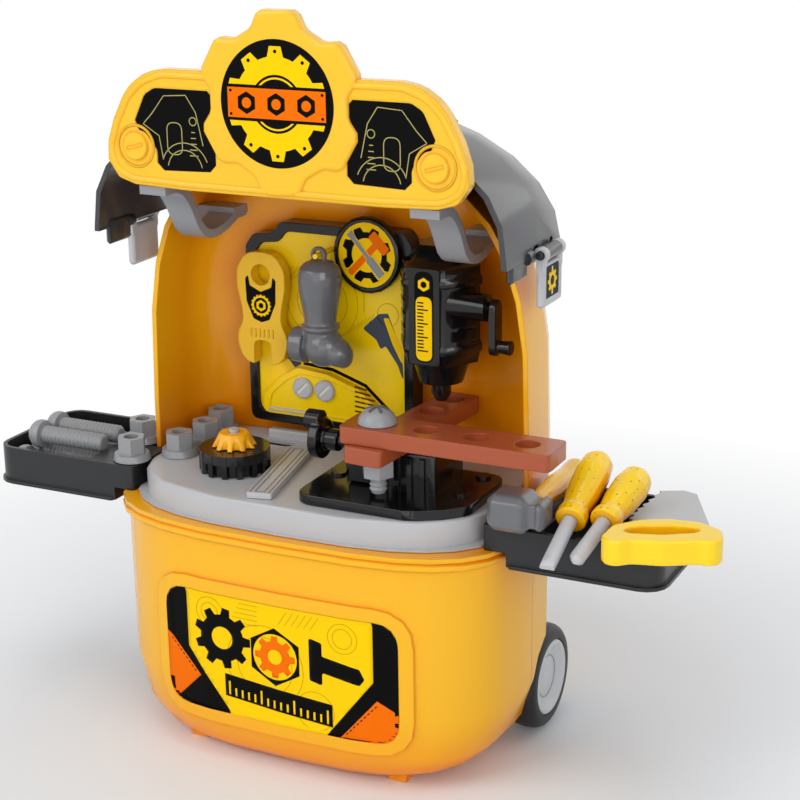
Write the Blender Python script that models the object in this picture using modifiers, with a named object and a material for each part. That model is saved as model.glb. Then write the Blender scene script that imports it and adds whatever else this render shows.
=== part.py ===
"""Toy tool trolley, opened up as a workbench.

A wheeled case whose front cover is clipped on top as a canopy. The lower body carries a
grey worktop, two side trays, a tool board, a bench drill and a vise with planks.
Millimetre sizes are turned into metres by MM. The design frame has its origin on the
floor, below the seam between the front cover and the upper rear shell, +X to the
right, +Y to the rear and +Z up. The parent empty of all objects then moves that frame
so that the origin is below the middle of the whole object.
"""

import math

import bmesh
import bpy
from mathutils import Matrix, Vector

MM = 0.001

# Driving dimensions
HALF_WIDTH = 123 * MM
FRONT_DEPTH = 74 * MM
REAR_DEPTH = 62 * MM
RIM_TOP = 145.5 * MM
BODY_BOTTOM = 1.5 * MM
WALL = 3 * MM
RIM_OUT = 3.4 * MM
GAP = 0.3 * MM
OVERRUN = 5 * MM
SEAM_Y = 9 * MM
SIDE_ROUNDING = 44 * MM
FRONT_ROUNDING = 18 * MM
REAR_ROUNDING = 22 * MM
SIDE_TAPER_SHARE = 0.005
FRONT_CURVE_POWER = 3.2
REAR_CURVE_POWER = 5
RING_POINTS = 28
ROUND_SIDES = 16
LARGE_SIDES = 22

# Wheels and axle
WHEEL_RADIUS = 32 * MM
WHEEL_WIDTH = 20 * MM
WHEEL_OUTER_X = 121 * MM
WHEEL_Y = 46 * MM
WHEEL_CLEARANCE = 3 * MM
HUB_RADIUS = 23 * MM
HUB_DISH = 3.5 * MM
HUB_LIP = 1.4 * MM
HUB_FACE_SHARES = ((0, 0.5), (0.55, 1), (1, 0.8))
TYRE_SHOULDER = 4 * MM
TYRE_BORE_DEPTH = 15 * MM
AXLE_RADIUS = 3 * MM
AXLE_CLEARANCE = 0.4 * MM
WELL_DEPTH = 22 * MM

# Worktop
DECK_TOP = 162 * MM
DECK_HALF_WIDTH = 112 * MM
DECK_FRONT = 69 * MM
DECK_REAR = 56 * MM
DECK_CURVE_POWER = 3
DECK_CORNER_POWER = 5
DECK_EDGE = 1.5 * MM
FLANGE_THICKNESS = 1.4 * MM
FLANGE_REACH = 6.5 * MM
FLANGE_END_REACH = 1.8 * MM

# Trays
TRAY_REACH = 214 * MM
TRAY_FRONT = 42 * MM
TRAY_REAR = 40 * MM
TRAY_TOP = 160.5 * MM
TRAY_BOTTOM = 137.5 * MM
TRAY_WALL = 2.5 * MM
RIM_PLAY = 0.5 * MM
TRAY_CORNER = 12 * MM
TRAY_FOOT_LIP = 1.6 * MM
TRAY_FOOT_HEIGHT = 2 * MM
TRAY_INNER_X = HALF_WIDTH + RIM_OUT + RIM_PLAY
TRAY_LAND_X = 146 * MM
TRAY_TAB_X = 113.2 * MM
TRAY_TAB_REAR = -3 * MM
TRAY_TAB_LOW = 145.8 * MM

# Cover, clipped on top as a canopy
COVER_HALF = 127.5 * MM
COVER_FRONT = 45 * MM
COVER_REAR = 56.5 * MM
COVER_LOW = 303 * MM
COVER_TOP = 376 * MM

SHELL_TOP = 347 * MM
SLEEVE_REAR = 80 * MM


def clear_scene():
    for item in list(bpy.data.objects):
        bpy.data.objects.remove(item, do_unlink=True)


def new_collection(name):
    group = bpy.data.collections.new(name)
    bpy.context.scene.collection.children.link(group)
    return group


clear_scene()
PARTS = new_collection("toy_tool_trolley")
CUTTERS = new_collection("cutters")
FRAME = bpy.data.objects.new("trolley_frame", None)
PARTS.objects.link(FRAME)


def make_material(name, colour, roughness, metallic=0.0):
    material = bpy.data.materials.new(name)
    material.use_nodes = True
    shader = material.node_tree.nodes["Principled BSDF"]
    shader.inputs["Base Color"].default_value = (*colour, 1.0)
    shader.inputs["Roughness"].default_value = roughness
    shader.inputs["Metallic"].default_value = metallic
    return material


YELLOW = make_material("case_yellow", (0.93, 0.55, 0.03), 0.25)
TOOL_YELLOW = make_material("tool_yellow", (0.9, 0.68, 0.01), 0.3)
BLACK = make_material("gloss_black", (0.02, 0.02, 0.022), 0.2)
CHARCOAL = make_material("tray_charcoal", (0.035, 0.035, 0.035), 0.4)
LIGHT_GREY = make_material("worktop_grey", (0.55, 0.55, 0.56), 0.35)
MID_GREY = make_material("fastener_grey", (0.3, 0.3, 0.31), 0.4)
TOOL_GREY = make_material("tool_grey", (0.14, 0.14, 0.145), 0.3)
BROWN = make_material("plank_brown", (0.42, 0.13, 0.06), 0.35)
AMBER = make_material("window_amber", (0.6, 0.2, 0.02), 0.15)
RUBBER = make_material("tyre_black", (0.015, 0.015, 0.015), 0.6)


def add_object(name, mesh, material, group=PARTS):
    item = bpy.data.objects.new(name, mesh)
    if material is not None and not mesh.materials:
        mesh.materials.append(material)
    group.objects.link(item)
    if group is PARTS:
        item.parent = FRAME
    else:
        item.hide_render = True
        item.display_type = "WIRE"
    return item


def finish_mesh(name, build, material, group=PARTS, smooth=True):
    bmesh.ops.recalc_face_normals(build, faces=build.faces)
    mesh = bpy.data.meshes.new(name)
    build.to_mesh(mesh)
    build.free()
    if smooth:
        mesh.shade_smooth()
        mesh.set_sharp_from_angle(angle=math.radians(35))
    return add_object(name, mesh, material, group)


def loft(name, rings, material=None, group=CUTTERS):
    """Closed skin through rings of equal point count, with a flat cap at each end."""
    build = bmesh.new()
    rows = [[build.verts.new(point) for point in ring] for ring in rings]
    for low, high in zip(rows, rows[1:]):
        for index, vertex in enumerate(low):
            following = (index + 1) % len(low)
            build.faces.new((vertex, low[following], high[following], high[index]))
    build.faces.new(list(reversed(rows[0])))
    build.faces.new(rows[-1])
    return finish_mesh(name, build, material, group)


def box(name, low, high, material=None, group=CUTTERS, bevel=0.0, segments=1):
    """Box between two corners, its edges rounded by bevel."""
    build = bmesh.new()
    size = Vector(high) - Vector(low)
    centre = (Vector(high) + Vector(low)) / 2
    bmesh.ops.create_cube(build, size=1.0, matrix=Matrix.Translation(centre) @ Matrix.Diagonal((*size, 1)))
    if bevel > 0:
        bmesh.ops.bevel(build, geom=build.edges[:], offset=bevel, segments=segments, affect="EDGES", profile=0.5)
    return finish_mesh(name, build, material, group)


def cylinder(name, start, end, radius, material=None, group=CUTTERS, sides=ROUND_SIDES,
             end_radius=None):
    """Cylinder or cone frustum from one point to another."""
    build = bmesh.new()
    start, end = Vector(start), Vector(end)
    axis = end - start
    turn = Vector((0, 0, 1)).rotation_difference(axis).to_matrix().to_4x4()
    place = Matrix.Translation((start + end) / 2) @ turn
    bmesh.ops.create_cone(build, cap_ends=True, segments=sides, radius1=radius,
                          radius2=radius if end_radius is None else end_radius,
                          depth=axis.length, matrix=place)
    return finish_mesh(name, build, material, group)


def ball(name, centre, radii, material=None, group=CUTTERS, sides=12):
    build = bmesh.new()
    place = Matrix.Translation(centre) @ Matrix.Diagonal((*radii, 1))
    bmesh.ops.create_uvsphere(build, u_segments=sides, v_segments=sides // 2, radius=1.0, matrix=place)
    return finish_mesh(name, build, material, group)


def turned(name, profile, place, material, sides=ROUND_SIDES, group=PARTS):
    """Turned shape: the (radius, height) profile runs down its outer side, top to bottom.

    A profile that ends where it starts makes a ring."""
    mesh = bpy.data.meshes.new(name)
    closed = profile[0] == profile[-1]
    points = [(radius, 0, height) for radius, height in (profile[:-1] if closed else profile)]
    edges = [(index, index + 1) for index in range(len(points) - 1)]
    mesh.from_pydata(points, edges + ([(len(points) - 1, 0)] if closed else []), [])
    item = add_object(name, mesh, material, group)
    item.matrix_local = place
    screw = item.modifiers.new("turn", "SCREW")
    screw.steps = sides
    screw.render_steps = sides
    screw.use_merge_vertices = True
    screw.merge_threshold = 0.00001
    screw.use_smooth_shade = True
    return item


def profile_at(shares, radius, base, span):
    """Profile of a turned shape from shares of its radius and of its length above base."""
    return [(radius * out, base + span * up) for out, up in shares]


def outline_mesh(name, outlines, depth):
    """Mesh of a flat outline, with any holes, given depth on both sides of its plane."""
    curve = bpy.data.curves.new(name, "CURVE")
    curve.dimensions = "2D"
    curve.fill_mode = "BOTH"
    curve.extrude = depth / 2
    for outline in outlines:
        spline = curve.splines.new("POLY")
        spline.points.add(len(outline) - 1)
        for point, (across, along) in zip(spline.points, outline):
            point.co = (across, along, 0, 1)
        spline.use_cyclic_u = True
    source = bpy.data.objects.new(name + "_curve", curve)
    CUTTERS.objects.link(source)
    bpy.context.view_layer.update()
    evaluated = source.evaluated_get(bpy.context.evaluated_depsgraph_get())
    mesh = bpy.data.meshes.new_from_object(evaluated)
    bpy.data.objects.remove(source, do_unlink=True)
    build = bmesh.new()
    build.from_mesh(mesh)
    bmesh.ops.remove_doubles(build, verts=build.verts, dist=0.00001)
    bmesh.ops.recalc_face_normals(build, faces=build.faces)
    build.to_mesh(mesh)
    build.free()
    mesh.name = name
    return mesh


def outline_solid(name, outlines, depth, place, material=None, group=CUTTERS, bevel=0.0):
    """Extruded outline, drawn in the local XY plane and moved by place."""
    item = add_object(name, outline_mesh(name, outlines, depth), material, group)
    item.matrix_local = place
    if bevel > 0:
        rounding = item.modifiers.new("rounded_edges", "BEVEL")
        rounding.width = bevel
        rounding.segments = 1
        rounding.limit_method = "ANGLE"
        rounding.angle_limit = math.radians(50)
    return item


def combine(item, other, operation):
    step = item.modifiers.new(operation.lower(), "BOOLEAN")
    step.operation = operation
    step.solver = "EXACT"
    step.object = other
    if other.name in CUTTERS.objects:
        other.parent = FRAME
    return item


def cut(item, *others):
    for other in others:
        combine(item, other, "DIFFERENCE")
    return item


def join(item, *others):
    for other in others:
        combine(item, other, "UNION")
    return item


def keep(item, other):
    return combine(item, other, "INTERSECT")


# Placements of outlines: local X and Y become the two named world directions
def facing_front(y=0.0, x=0.0, z=0.0):
    """Local X to the right, local Y up: an outline seen from the front."""
    return Matrix.Translation((x, y, z)) @ Matrix.Rotation(math.radians(90), 4, "X")


def facing_up(z=0.0, x=0.0, y=0.0):
    return Matrix.Translation((x, y, z))


def facing_side(x=0.0):
    """Local X to the rear, local Y up: an outline seen from the right side."""
    return Matrix.Translation((x, 0, 0)) @ Matrix(((0, 0, 1, 0), (1, 0, 0, 0), (0, 1, 0, 0), (0, 0, 0, 1)))


def round_outline(radius, count=ROUND_SIDES, centre=(0.0, 0.0), stretch_share=1.0):
    return [(centre[0] + radius * math.cos(2 * math.pi * step / count),
             centre[1] + radius * stretch_share * math.sin(2 * math.pi * step / count)) for step in range(count)]


def rounded_outline(points, radius, steps=3):
    """Polygon with each corner replaced by an arc of about the given radius."""
    result = []
    total = len(points)
    for index in range(total):
        before, corner, after = (Vector(points[(index + shift) % total]) for shift in (-1, 0, 1))
        inward, outward = (before - corner), (after - corner)
        half = inward.angle(outward) / 2
        reach = min(radius / math.tan(half), inward.length * 0.49, outward.length * 0.49)
        first = corner + inward.normalized() * reach
        last = corner + outward.normalized() * reach
        for step in range(steps + 1):
            share = step / steps
            point = first * (1 - share) ** 2 + corner * 2 * share * (1 - share) + last * share ** 2
            result.append((point.x, point.y))
    return result


def rectangle(low, high):
    return [(low[0], low[1]), (high[0], low[1]), (high[0], high[1]), (low[0], high[1])]


def rounded_rectangle(low, high, radius, steps=3):
    return rounded_outline(rectangle(low, high), radius, steps)


def gear_outline(teeth, root, tip, centre=(0.0, 0.0), start_share=0.0, root_share=0.56, tip_share=0.34):
    """Gear with straight-sided teeth; the shares give a tooth's width at its root and tip."""
    result = []
    for tooth in range(teeth):
        for radius, shift in ((root, -root_share), (tip, -tip_share), (tip, tip_share), (root, root_share)):
            angle = 2 * math.pi * (tooth + start_share + shift / 2) / teeth
            result.append((centre[0] + radius * math.cos(angle), centre[1] + radius * math.sin(angle)))
    return result


def oval_ring(half_x, front, rear, height, front_power, rear_power):
    """Plan outline of the case: a rounded front and a squarer rear, counter-clockwise."""
    ring = []
    for step in range(RING_POINTS):
        angle = 2 * math.pi * step / RING_POINTS
        across, along = math.cos(angle), math.sin(angle)
        power = 2 / (rear_power if along > 0 else front_power)
        reach = rear if along > 0 else front
        ring.append(Vector((math.copysign(abs(across) ** power, across) * half_x,
                            math.copysign(abs(along) ** power, along) * reach, height)))
    return ring


def quarter_inset(radius, height):
    """How far a rounded edge of this radius draws in at a height above its start."""
    rest = max(radius - height, 0)
    return radius - math.sqrt(max(radius ** 2 - rest ** 2, 0))


def body_ring(height, grow):
    above = max(height - BODY_BOTTOM, 0)
    taper = (RIM_TOP - height) * SIDE_TAPER_SHARE
    return oval_ring(HALF_WIDTH + grow - taper - quarter_inset(SIDE_ROUNDING, above),
                     FRONT_DEPTH + grow - taper - quarter_inset(FRONT_ROUNDING, above),
                     REAR_DEPTH + grow - quarter_inset(REAR_ROUNDING, above),
                     height, FRONT_CURVE_POWER, REAR_CURVE_POWER)


RIM_LOW = 136 * MM
RIM_BEAD_LOW = 138.5 * MM
RIM_GROOVE = 141 * MM
RIM_BEAD_HIGH = 143 * MM
GROOVE_OUT = 1.8 * MM
BEAD_HIGH_OUT = 3 * MM
LEDGE_LOW = 137 * MM
LEDGE_REACH = 4 * MM
BOTTOM_LEVEL_SHARES = (0.0, 0.06, 0.2, 0.45, 1.0)


def body_levels(top):
    levels = [BODY_BOTTOM + share * SIDE_ROUNDING for share in BOTTOM_LEVEL_SHARES]
    return levels + [top]


def body_skin(name, grow, top):
    return loft(name, [body_ring(height, grow) for height in body_levels(top)])


LABEL_HALF = 75 * MM
LABEL_LOW = 31 * MM
LABEL_HIGH = 105 * MM
LABEL_CORNER = 15 * MM
LABEL_FRAME = 8 * MM
LABEL_FRAME_RISE = 1.8 * MM
LABEL_PANEL_RISE = 0.6 * MM
FOOT_X = 66 * MM
FOOT_Y = -50 * MM
FOOT_HALF_WIDTH = 5.5 * MM
FOOT_HALF_DEPTH = 5 * MM
FOOT_TOP = 16 * MM
FOOT_FLARE = 2 * MM
FOOT_TOP_REACH = 8 * MM


def label_prism(name, border):
    low = (-LABEL_HALF - border, LABEL_LOW - border)
    high = (LABEL_HALF + border, LABEL_HIGH + border)
    outline = rounded_rectangle(low, high, LABEL_CORNER + border, 4)
    return outline_solid(name, [outline], FRONT_DEPTH, facing_front(-FRONT_DEPTH))


def body_outer():
    """Outside of the lower body with its double rim, as one solid."""
    rim = ((RIM_LOW, 0), (RIM_BEAD_LOW, RIM_OUT), (RIM_GROOVE, RIM_OUT),
           (RIM_GROOVE + GROOVE_OUT / 2, GROOVE_OUT), (RIM_BEAD_HIGH, BEAD_HIGH_OUT), (RIM_TOP, BEAD_HIGH_OUT))
    rings = [body_ring(height, 0) for height in body_levels(RIM_LOW)[:-1]]
    rings += [body_ring(height, grow) for height, grow in rim]
    return rings


def body_cavity(name):
    """Inside of the lower body, drawn in near the rim to leave a ledge for the worktop."""
    rings = []
    for height in body_levels(RIM_TOP)[:-1]:
        rings.append([point + Vector((0, 0, WALL)) for point in body_ring(height, -WALL)])
    rings.append(body_ring(LEDGE_LOW, -WALL))
    rings.append(body_ring(LEDGE_LOW + LEDGE_REACH, -WALL - LEDGE_REACH))
    rings.append(body_ring(RIM_TOP + OVERRUN, -WALL - LEDGE_REACH))
    return loft(name, rings)


def foot_block(name, side):
    low = [Vector((side * FOOT_X + across * FOOT_HALF_WIDTH, FOOT_Y + along * FOOT_HALF_DEPTH, 0))
           for across, along in ((-1, -1), (1, -1), (1, 1), (-1, 1))]
    high = [Vector((side * FOOT_X + across * (FOOT_HALF_WIDTH + FOOT_FLARE),
                    FOOT_Y + along * (FOOT_TOP_REACH if along < 0 else FOOT_TOP_REACH + FOOT_FLARE), FOOT_TOP))
            for across, along in ((-1, -1), (1, -1), (1, 1), (-1, 1))]
    return loft(name, [low, high])


def half_space(name, rear):
    reach = HALF_WIDTH + FRONT_DEPTH
    low_y, high_y = (SEAM_Y, reach) if rear else (-reach, SEAM_Y + GAP)
    return box(name, (-reach, low_y, -OVERRUN), (reach, high_y, SHELL_TOP))


def build_front_shell():
    shell = loft("front_body_shell", body_outer(), YELLOW, PARTS)
    frame = label_prism("label_frame", LABEL_FRAME)
    keep(frame, body_skin("label_frame_skin", LABEL_FRAME_RISE, RIM_LOW))
    recess = label_prism("label_recess", 0)
    cut(recess, body_skin("label_panel_skin", LABEL_PANEL_RISE, RIM_LOW))
    join(shell, frame)
    cut(shell, recess)
    join(shell, foot_block("foot_right", 1), foot_block("foot_left", -1))
    cut(shell, body_cavity("front_cavity"), half_space("behind_seam", True))


def build_rear_shell():
    """Rear half of the lower body, with two wheel wells and the bearing holes of the axle."""
    shell = loft("rear_body_shell", body_outer(), YELLOW, PARTS)
    cavity = body_cavity("rear_cavity")
    well_inner_x = WHEEL_OUTER_X - WELL_DEPTH
    arch_radius = WHEEL_RADIUS + WHEEL_CLEARANCE
    for side in (1, -1):
        wall = cylinder("well_wall", (side * (well_inner_x - WALL), WHEEL_Y, WHEEL_RADIUS),
                        (side * (HALF_WIDTH + OVERRUN), WHEEL_Y, WHEEL_RADIUS), arch_radius + WALL)
        cut(cavity, wall)
    cut(shell, cavity, half_space("before_seam", False))
    for side in (1, -1):
        arch = cylinder("wheel_arch", (side * well_inner_x, WHEEL_Y, WHEEL_RADIUS),
                        (side * (HALF_WIDTH + 2 * OVERRUN), WHEEL_Y, WHEEL_RADIUS), arch_radius)
        cut(shell, arch)
    reach = HALF_WIDTH + OVERRUN
    bore = cylinder("axle_bore", (-reach, WHEEL_Y, WHEEL_RADIUS), (reach, WHEEL_Y, WHEEL_RADIUS),
                    AXLE_RADIUS + AXLE_CLEARANCE, sides=12)
    cut(shell, bore)


def side_place(side, x, y, z):
    """Turned shapes whose axis runs outwards along X."""
    turn = Matrix.Rotation(math.radians(90 * side), 4, "Y")
    return Matrix.Translation((side * x, y, z)) @ turn


def build_wheels():
    """Tyre with a bored middle, a dished hub pressed in it, and the axle between both."""
    half = WHEEL_WIDTH / 2
    seat = HUB_RADIUS + GAP
    centre_x = WHEEL_OUTER_X - half
    tyre = [(WHEEL_RADIUS - TYRE_SHOULDER, half), (WHEEL_RADIUS - GAP, half - TYRE_SHOULDER),
            (WHEEL_RADIUS, 0), (WHEEL_RADIUS - GAP, TYRE_SHOULDER - half),
            (WHEEL_RADIUS - TYRE_SHOULDER, -half), (AXLE_RADIUS + AXLE_CLEARANCE, -half),
            (AXLE_RADIUS + AXLE_CLEARANCE, half - TYRE_BORE_DEPTH), (seat, half - TYRE_BORE_DEPTH),
            (seat, half), (WHEEL_RADIUS - TYRE_SHOULDER, half)]
    rim = HUB_RADIUS - HUB_DISH
    cap_low = half - TYRE_BORE_DEPTH + GAP
    hub = profile_at(HUB_FACE_SHARES, rim, half, -HUB_DISH)
    hub += [(rim + HUB_LIP, half), (HUB_RADIUS, half), (HUB_RADIUS, cap_low),
           (AXLE_RADIUS + AXLE_CLEARANCE, cap_low), (AXLE_RADIUS + AXLE_CLEARANCE, half - HUB_DISH * 2),
           (0, half - HUB_DISH * 2)]
    for side, word in ((1, "right"), (-1, "left")):
        place = side_place(side, centre_x, WHEEL_Y, WHEEL_RADIUS)
        turned(word + "_tyre", tyre, place, RUBBER, LARGE_SIDES)
        turned(word + "_wheel_hub", hub, place, LIGHT_GREY, LARGE_SIDES)
    end = WHEEL_OUTER_X - HUB_DISH * 2 - GAP
    cylinder("wheel_axle", (-end, WHEEL_Y, WHEEL_RADIUS), (end, WHEEL_Y, WHEEL_RADIUS),
             AXLE_RADIUS, MID_GREY, PARTS, 16)


# Upper rear shell, carrying handle and pull handle
SHELL_LOW = 145.8 * MM
SHELL_SHOULDER = 190 * MM
SHELL_POWER = 3.2
SHELL_REAR_POWER = 5
SHELL_ARC_STEPS = 16
SHELL_DEPTH_SHARES = (0.0, 0.5, 0.7, 0.84, 0.93, 0.98)
HANDLE_HALF = 35 * MM
HANDLE_HEIGHT = 20 * MM
HANDLE_BAR = 8 * MM
HANDLE_FRONT = 14 * MM
HANDLE_DEPTH = 16 * MM
SLEEVE_FRONT = 60 * MM
SLEEVE_HALF = 15 * MM
SLEEVE_LOW = 100 * MM
SLEEVE_HIGH = 318 * MM
TUBE_HALF = 10.5 * MM
TUBE_FRONT = 65.5 * MM
TUBE_REAR = 76 * MM
TUBE_LOW = 104 * MM
TUBE_HIGH = 323 * MM
GRIP_HALF = 54 * MM
GRIP_LOW = 322 * MM
GRIP_HIGH = 350 * MM
GRIP_FRONT = 62.6 * MM
GRIP_REAR = 79 * MM
GRIP_SOCKET = 8 * MM


def arch_ring(depth, share, grow, low):
    """Front view of the upper shell at a depth, drawn in by share towards the rear."""
    half, rise = HALF_WIDTH + grow, SHELL_TOP - SHELL_SHOULDER + grow
    ring = [Vector((half * share, depth, low))]
    for step in range(SHELL_ARC_STEPS + 1):
        angle = math.pi * step / SHELL_ARC_STEPS
        across, up = math.cos(angle), math.sin(angle)
        ring.append(Vector((math.copysign(abs(across) ** (2 / SHELL_POWER), across) * half * share, depth,
                            SHELL_SHOULDER + abs(up) ** (2 / SHELL_POWER) * (rise - half * (1 - share)))))
    ring.append(Vector((-half * share, depth, low)))
    return ring


def depth_inset(share, power):
    return (1 - share ** power) ** (1 / power)


def arch_skin(name, grow, front, low, material=None, group=CUTTERS):
    rear = REAR_DEPTH + grow
    rings = [arch_ring(front, 1, grow, low)] if front < 0 else []
    for share in SHELL_DEPTH_SHARES:
        rings.append(arch_ring(rear * share, depth_inset(share, SHELL_REAR_POWER), grow, low))
    return loft(name, rings, material, group)


def build_upper_shell():
    shell = arch_skin("upper_rear_shell", 0, 0, SHELL_LOW, YELLOW, PARTS)
    cut(shell, arch_skin("upper_cavity", -WALL, -OVERRUN, SHELL_LOW - OVERRUN))
    sleeve = box("sleeve", (-SLEEVE_HALF, SLEEVE_FRONT, SHELL_LOW), (SLEEVE_HALF, SLEEVE_REAR, SLEEVE_HIGH))
    bore = box("sleeve_bore", (-TUBE_HALF - GAP, TUBE_FRONT - GAP, SHELL_LOW - OVERRUN),
               (TUBE_HALF + GAP, TUBE_REAR + GAP, SLEEVE_HIGH + OVERRUN))
    join(shell, sleeve)
    cut(shell, bore)


def build_lower_sleeve():
    """Closed foot of the pull tube's channel, behind the lower body."""
    shell = PARTS.objects["rear_body_shell"]
    sleeve = box("foot_sleeve", (-SLEEVE_HALF, SLEEVE_FRONT - WALL, SLEEVE_LOW),
                 (SLEEVE_HALF, SLEEVE_REAR, RIM_TOP))
    bore = box("foot_bore", (-TUBE_HALF - GAP, TUBE_FRONT - GAP, SLEEVE_LOW + WALL),
               (TUBE_HALF + GAP, TUBE_REAR + GAP, RIM_TOP + OVERRUN))
    join(shell, sleeve)
    cut(shell, bore)


def build_carry_handle():
    half, top = HANDLE_HALF, SHELL_TOP + HANDLE_HEIGHT
    foot, low = SHELL_TOP - OVERRUN, SHELL_TOP - 2 * OVERRUN
    outer = [(-half, foot), (-half + HANDLE_BAR, top), (half - HANDLE_BAR, top), (half, foot)]
    inner = [(-half + HANDLE_BAR, low), (-half + 2 * HANDLE_BAR, top - HANDLE_BAR),
             (half - 2 * HANDLE_BAR, top - HANDLE_BAR), (half - HANDLE_BAR, low)]
    outline = rounded_outline(outer, HANDLE_BAR * 1.5, 4)
    place = facing_front(HANDLE_FRONT + HANDLE_DEPTH / 2)
    handle = outline_solid("carry_handle", [outline], HANDLE_DEPTH, place, YELLOW, PARTS)
    cut(handle, outline_solid("handle_hole", [rounded_outline(inner, HANDLE_BAR, 4)], 2 * HANDLE_DEPTH, place))
    cut(handle, arch_skin("handle_seat", GAP, -OVERRUN, SHELL_LOW))


def build_pull_handle():
    box("pull_tube", (-TUBE_HALF, TUBE_FRONT, TUBE_LOW), (TUBE_HALF, TUBE_REAR, TUBE_HIGH + GRIP_SOCKET),
        MID_GREY, PARTS, TYRE_SHOULDER / 2)
    low = (-GRIP_HALF, GRIP_LOW)
    outline = rounded_rectangle(low, (GRIP_HALF, GRIP_HIGH), GRIP_SOCKET * 1.5, 4)
    middle = (GRIP_FRONT + GRIP_REAR) / 2
    grip = outline_solid("pull_grip", [outline], GRIP_REAR - GRIP_FRONT, facing_front(middle), CHARCOAL, PARTS,
                         DECK_EDGE)
    socket = box("grip_socket", (-TUBE_HALF - GAP, TUBE_FRONT - GAP, GRIP_LOW - OVERRUN),
                 (TUBE_HALF + GAP, TUBE_REAR + GAP, TUBE_HIGH + GRIP_SOCKET + GAP))
    cut(grip, socket)


# Worktop details
SLOT_CENTRE = (-56 * MM, 30 * MM)
SLOT_HALF_LENGTH = 13 * MM
SLOT_HALF_WIDTH = 5 * MM
PAD_LOW_X = -66 * MM
PAD_HIGH_X = -34 * MM
PAD_FRONT = 38 * MM
PAD_DEPTH = 5.4 * MM
PAD_RISE = 5 * MM
POST_CENTRE = (-54 * MM, -22 * MM)
POST_RADIUS = 3 * MM
POST_TOP = 187 * MM
NOTCH_MARGIN = 0.7 * MM
RULER_CENTRE = (-23.5 * MM, -22.5 * MM)
RULER_LENGTH = 80 * MM
RULER_WIDTH = 15 * MM
RULER_THICKNESS = 3.5 * MM
RULER_ANGLE = 101.7


def deck_ring(height, grow):
    return oval_ring(DECK_HALF_WIDTH + grow, DECK_FRONT + grow, DECK_REAR + grow, height,
                     DECK_CURVE_POWER, DECK_CORNER_POWER)


def build_worktop():
    flange_top = SHELL_LOW + FLANGE_THICKNESS
    foot = [oval_ring(DECK_HALF_WIDTH + FLANGE_REACH, DECK_FRONT + FLANGE_END_REACH, DECK_REAR + FLANGE_END_REACH,
                      height, DECK_CURVE_POWER, DECK_CORNER_POWER) for height in (SHELL_LOW, flange_top)]
    rings = foot + [deck_ring(flange_top, 0), deck_ring(DECK_TOP - DECK_EDGE, 0), deck_ring(DECK_TOP, -DECK_EDGE)]
    deck = loft("worktop", rings, LIGHT_GREY, PARTS)
    cut(deck, loft("deck_hollow", [deck_ring(SHELL_LOW - OVERRUN, -WALL), deck_ring(DECK_TOP - WALL, -WALL)]))
    cut(deck, outline_solid("deck_slot", [slot_outline(SLOT_CENTRE, SLOT_HALF_LENGTH, SLOT_HALF_WIDTH)],
                            DECK_TOP, facing_up(DECK_TOP)))
    join(deck, box("level_pad", (PAD_LOW_X, PAD_FRONT, DECK_TOP - WALL),
                   (PAD_HIGH_X, PAD_FRONT + PAD_DEPTH, DECK_TOP + PAD_RISE), bevel=FLANGE_THICKNESS / 2))
    join(deck, cylinder("gear_post", (*POST_CENTRE, DECK_TOP - WALL / 2), (*POST_CENTRE, POST_TOP), POST_RADIUS,
                        sides=14))
    for side in (1, -1):
        inner, outer = DECK_HALF_WIDTH + NOTCH_MARGIN, HALF_WIDTH
        low_x, high_x = sorted((side * inner, side * outer))
        cut(deck, box("tab_notch", (low_x, -TRAY_FRONT - NOTCH_MARGIN, SHELL_LOW - OVERRUN),
                      (high_x, TRAY_TAB_REAR + NOTCH_MARGIN, DECK_TOP)))


def slot_outline(centre, half_length, half_width, steps=8):
    points = []
    for sign in (1, -1):
        for step in range(steps + 1):
            angle = math.pi * step / steps - math.pi / 2
            points.append((centre[0] + sign * (half_length - half_width + half_width * math.cos(angle)),
                           centre[1] + sign * half_width * math.sin(angle)))
    return points


def build_ruler():
    place = Matrix.Translation((*RULER_CENTRE, DECK_TOP + GAP + RULER_THICKNESS / 2))
    place = place @ Matrix.Rotation(math.radians(RULER_ANGLE), 4, "Z")
    outline = rounded_rectangle((-RULER_LENGTH / 2, -RULER_WIDTH / 2), (RULER_LENGTH / 2, RULER_WIDTH / 2),
                                FLANGE_THICKNESS)
    outline_solid("ruler_bar", [outline], RULER_THICKNESS, place, LIGHT_GREY, PARTS, TRAY_WALL / 6)


# Gear pair on the post
CROWN_TEETH = 14
CROWN_ROOT = 18 * MM
CROWN_TIP = 21 * MM
CROWN_LOW = 162.4 * MM
CROWN_TOOTH_TOP = 170 * MM
CROWN_HIGH = 176 * MM
BEVEL_TEETH = 10
BEVEL_ROOT = 10 * MM
BEVEL_TIP = 13.5 * MM
BEVEL_TOP_RADIUS = 8.5 * MM
BEVEL_HIGH = 185 * MM
POST_CLEARANCE = 0.4 * MM


def bore_post(item):
    return cut(item, cylinder("post_bore", (*POST_CENTRE, CROWN_LOW - OVERRUN), (*POST_CENTRE, POST_TOP + OVERRUN),
                              POST_RADIUS + POST_CLEARANCE, sides=12))


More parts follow.
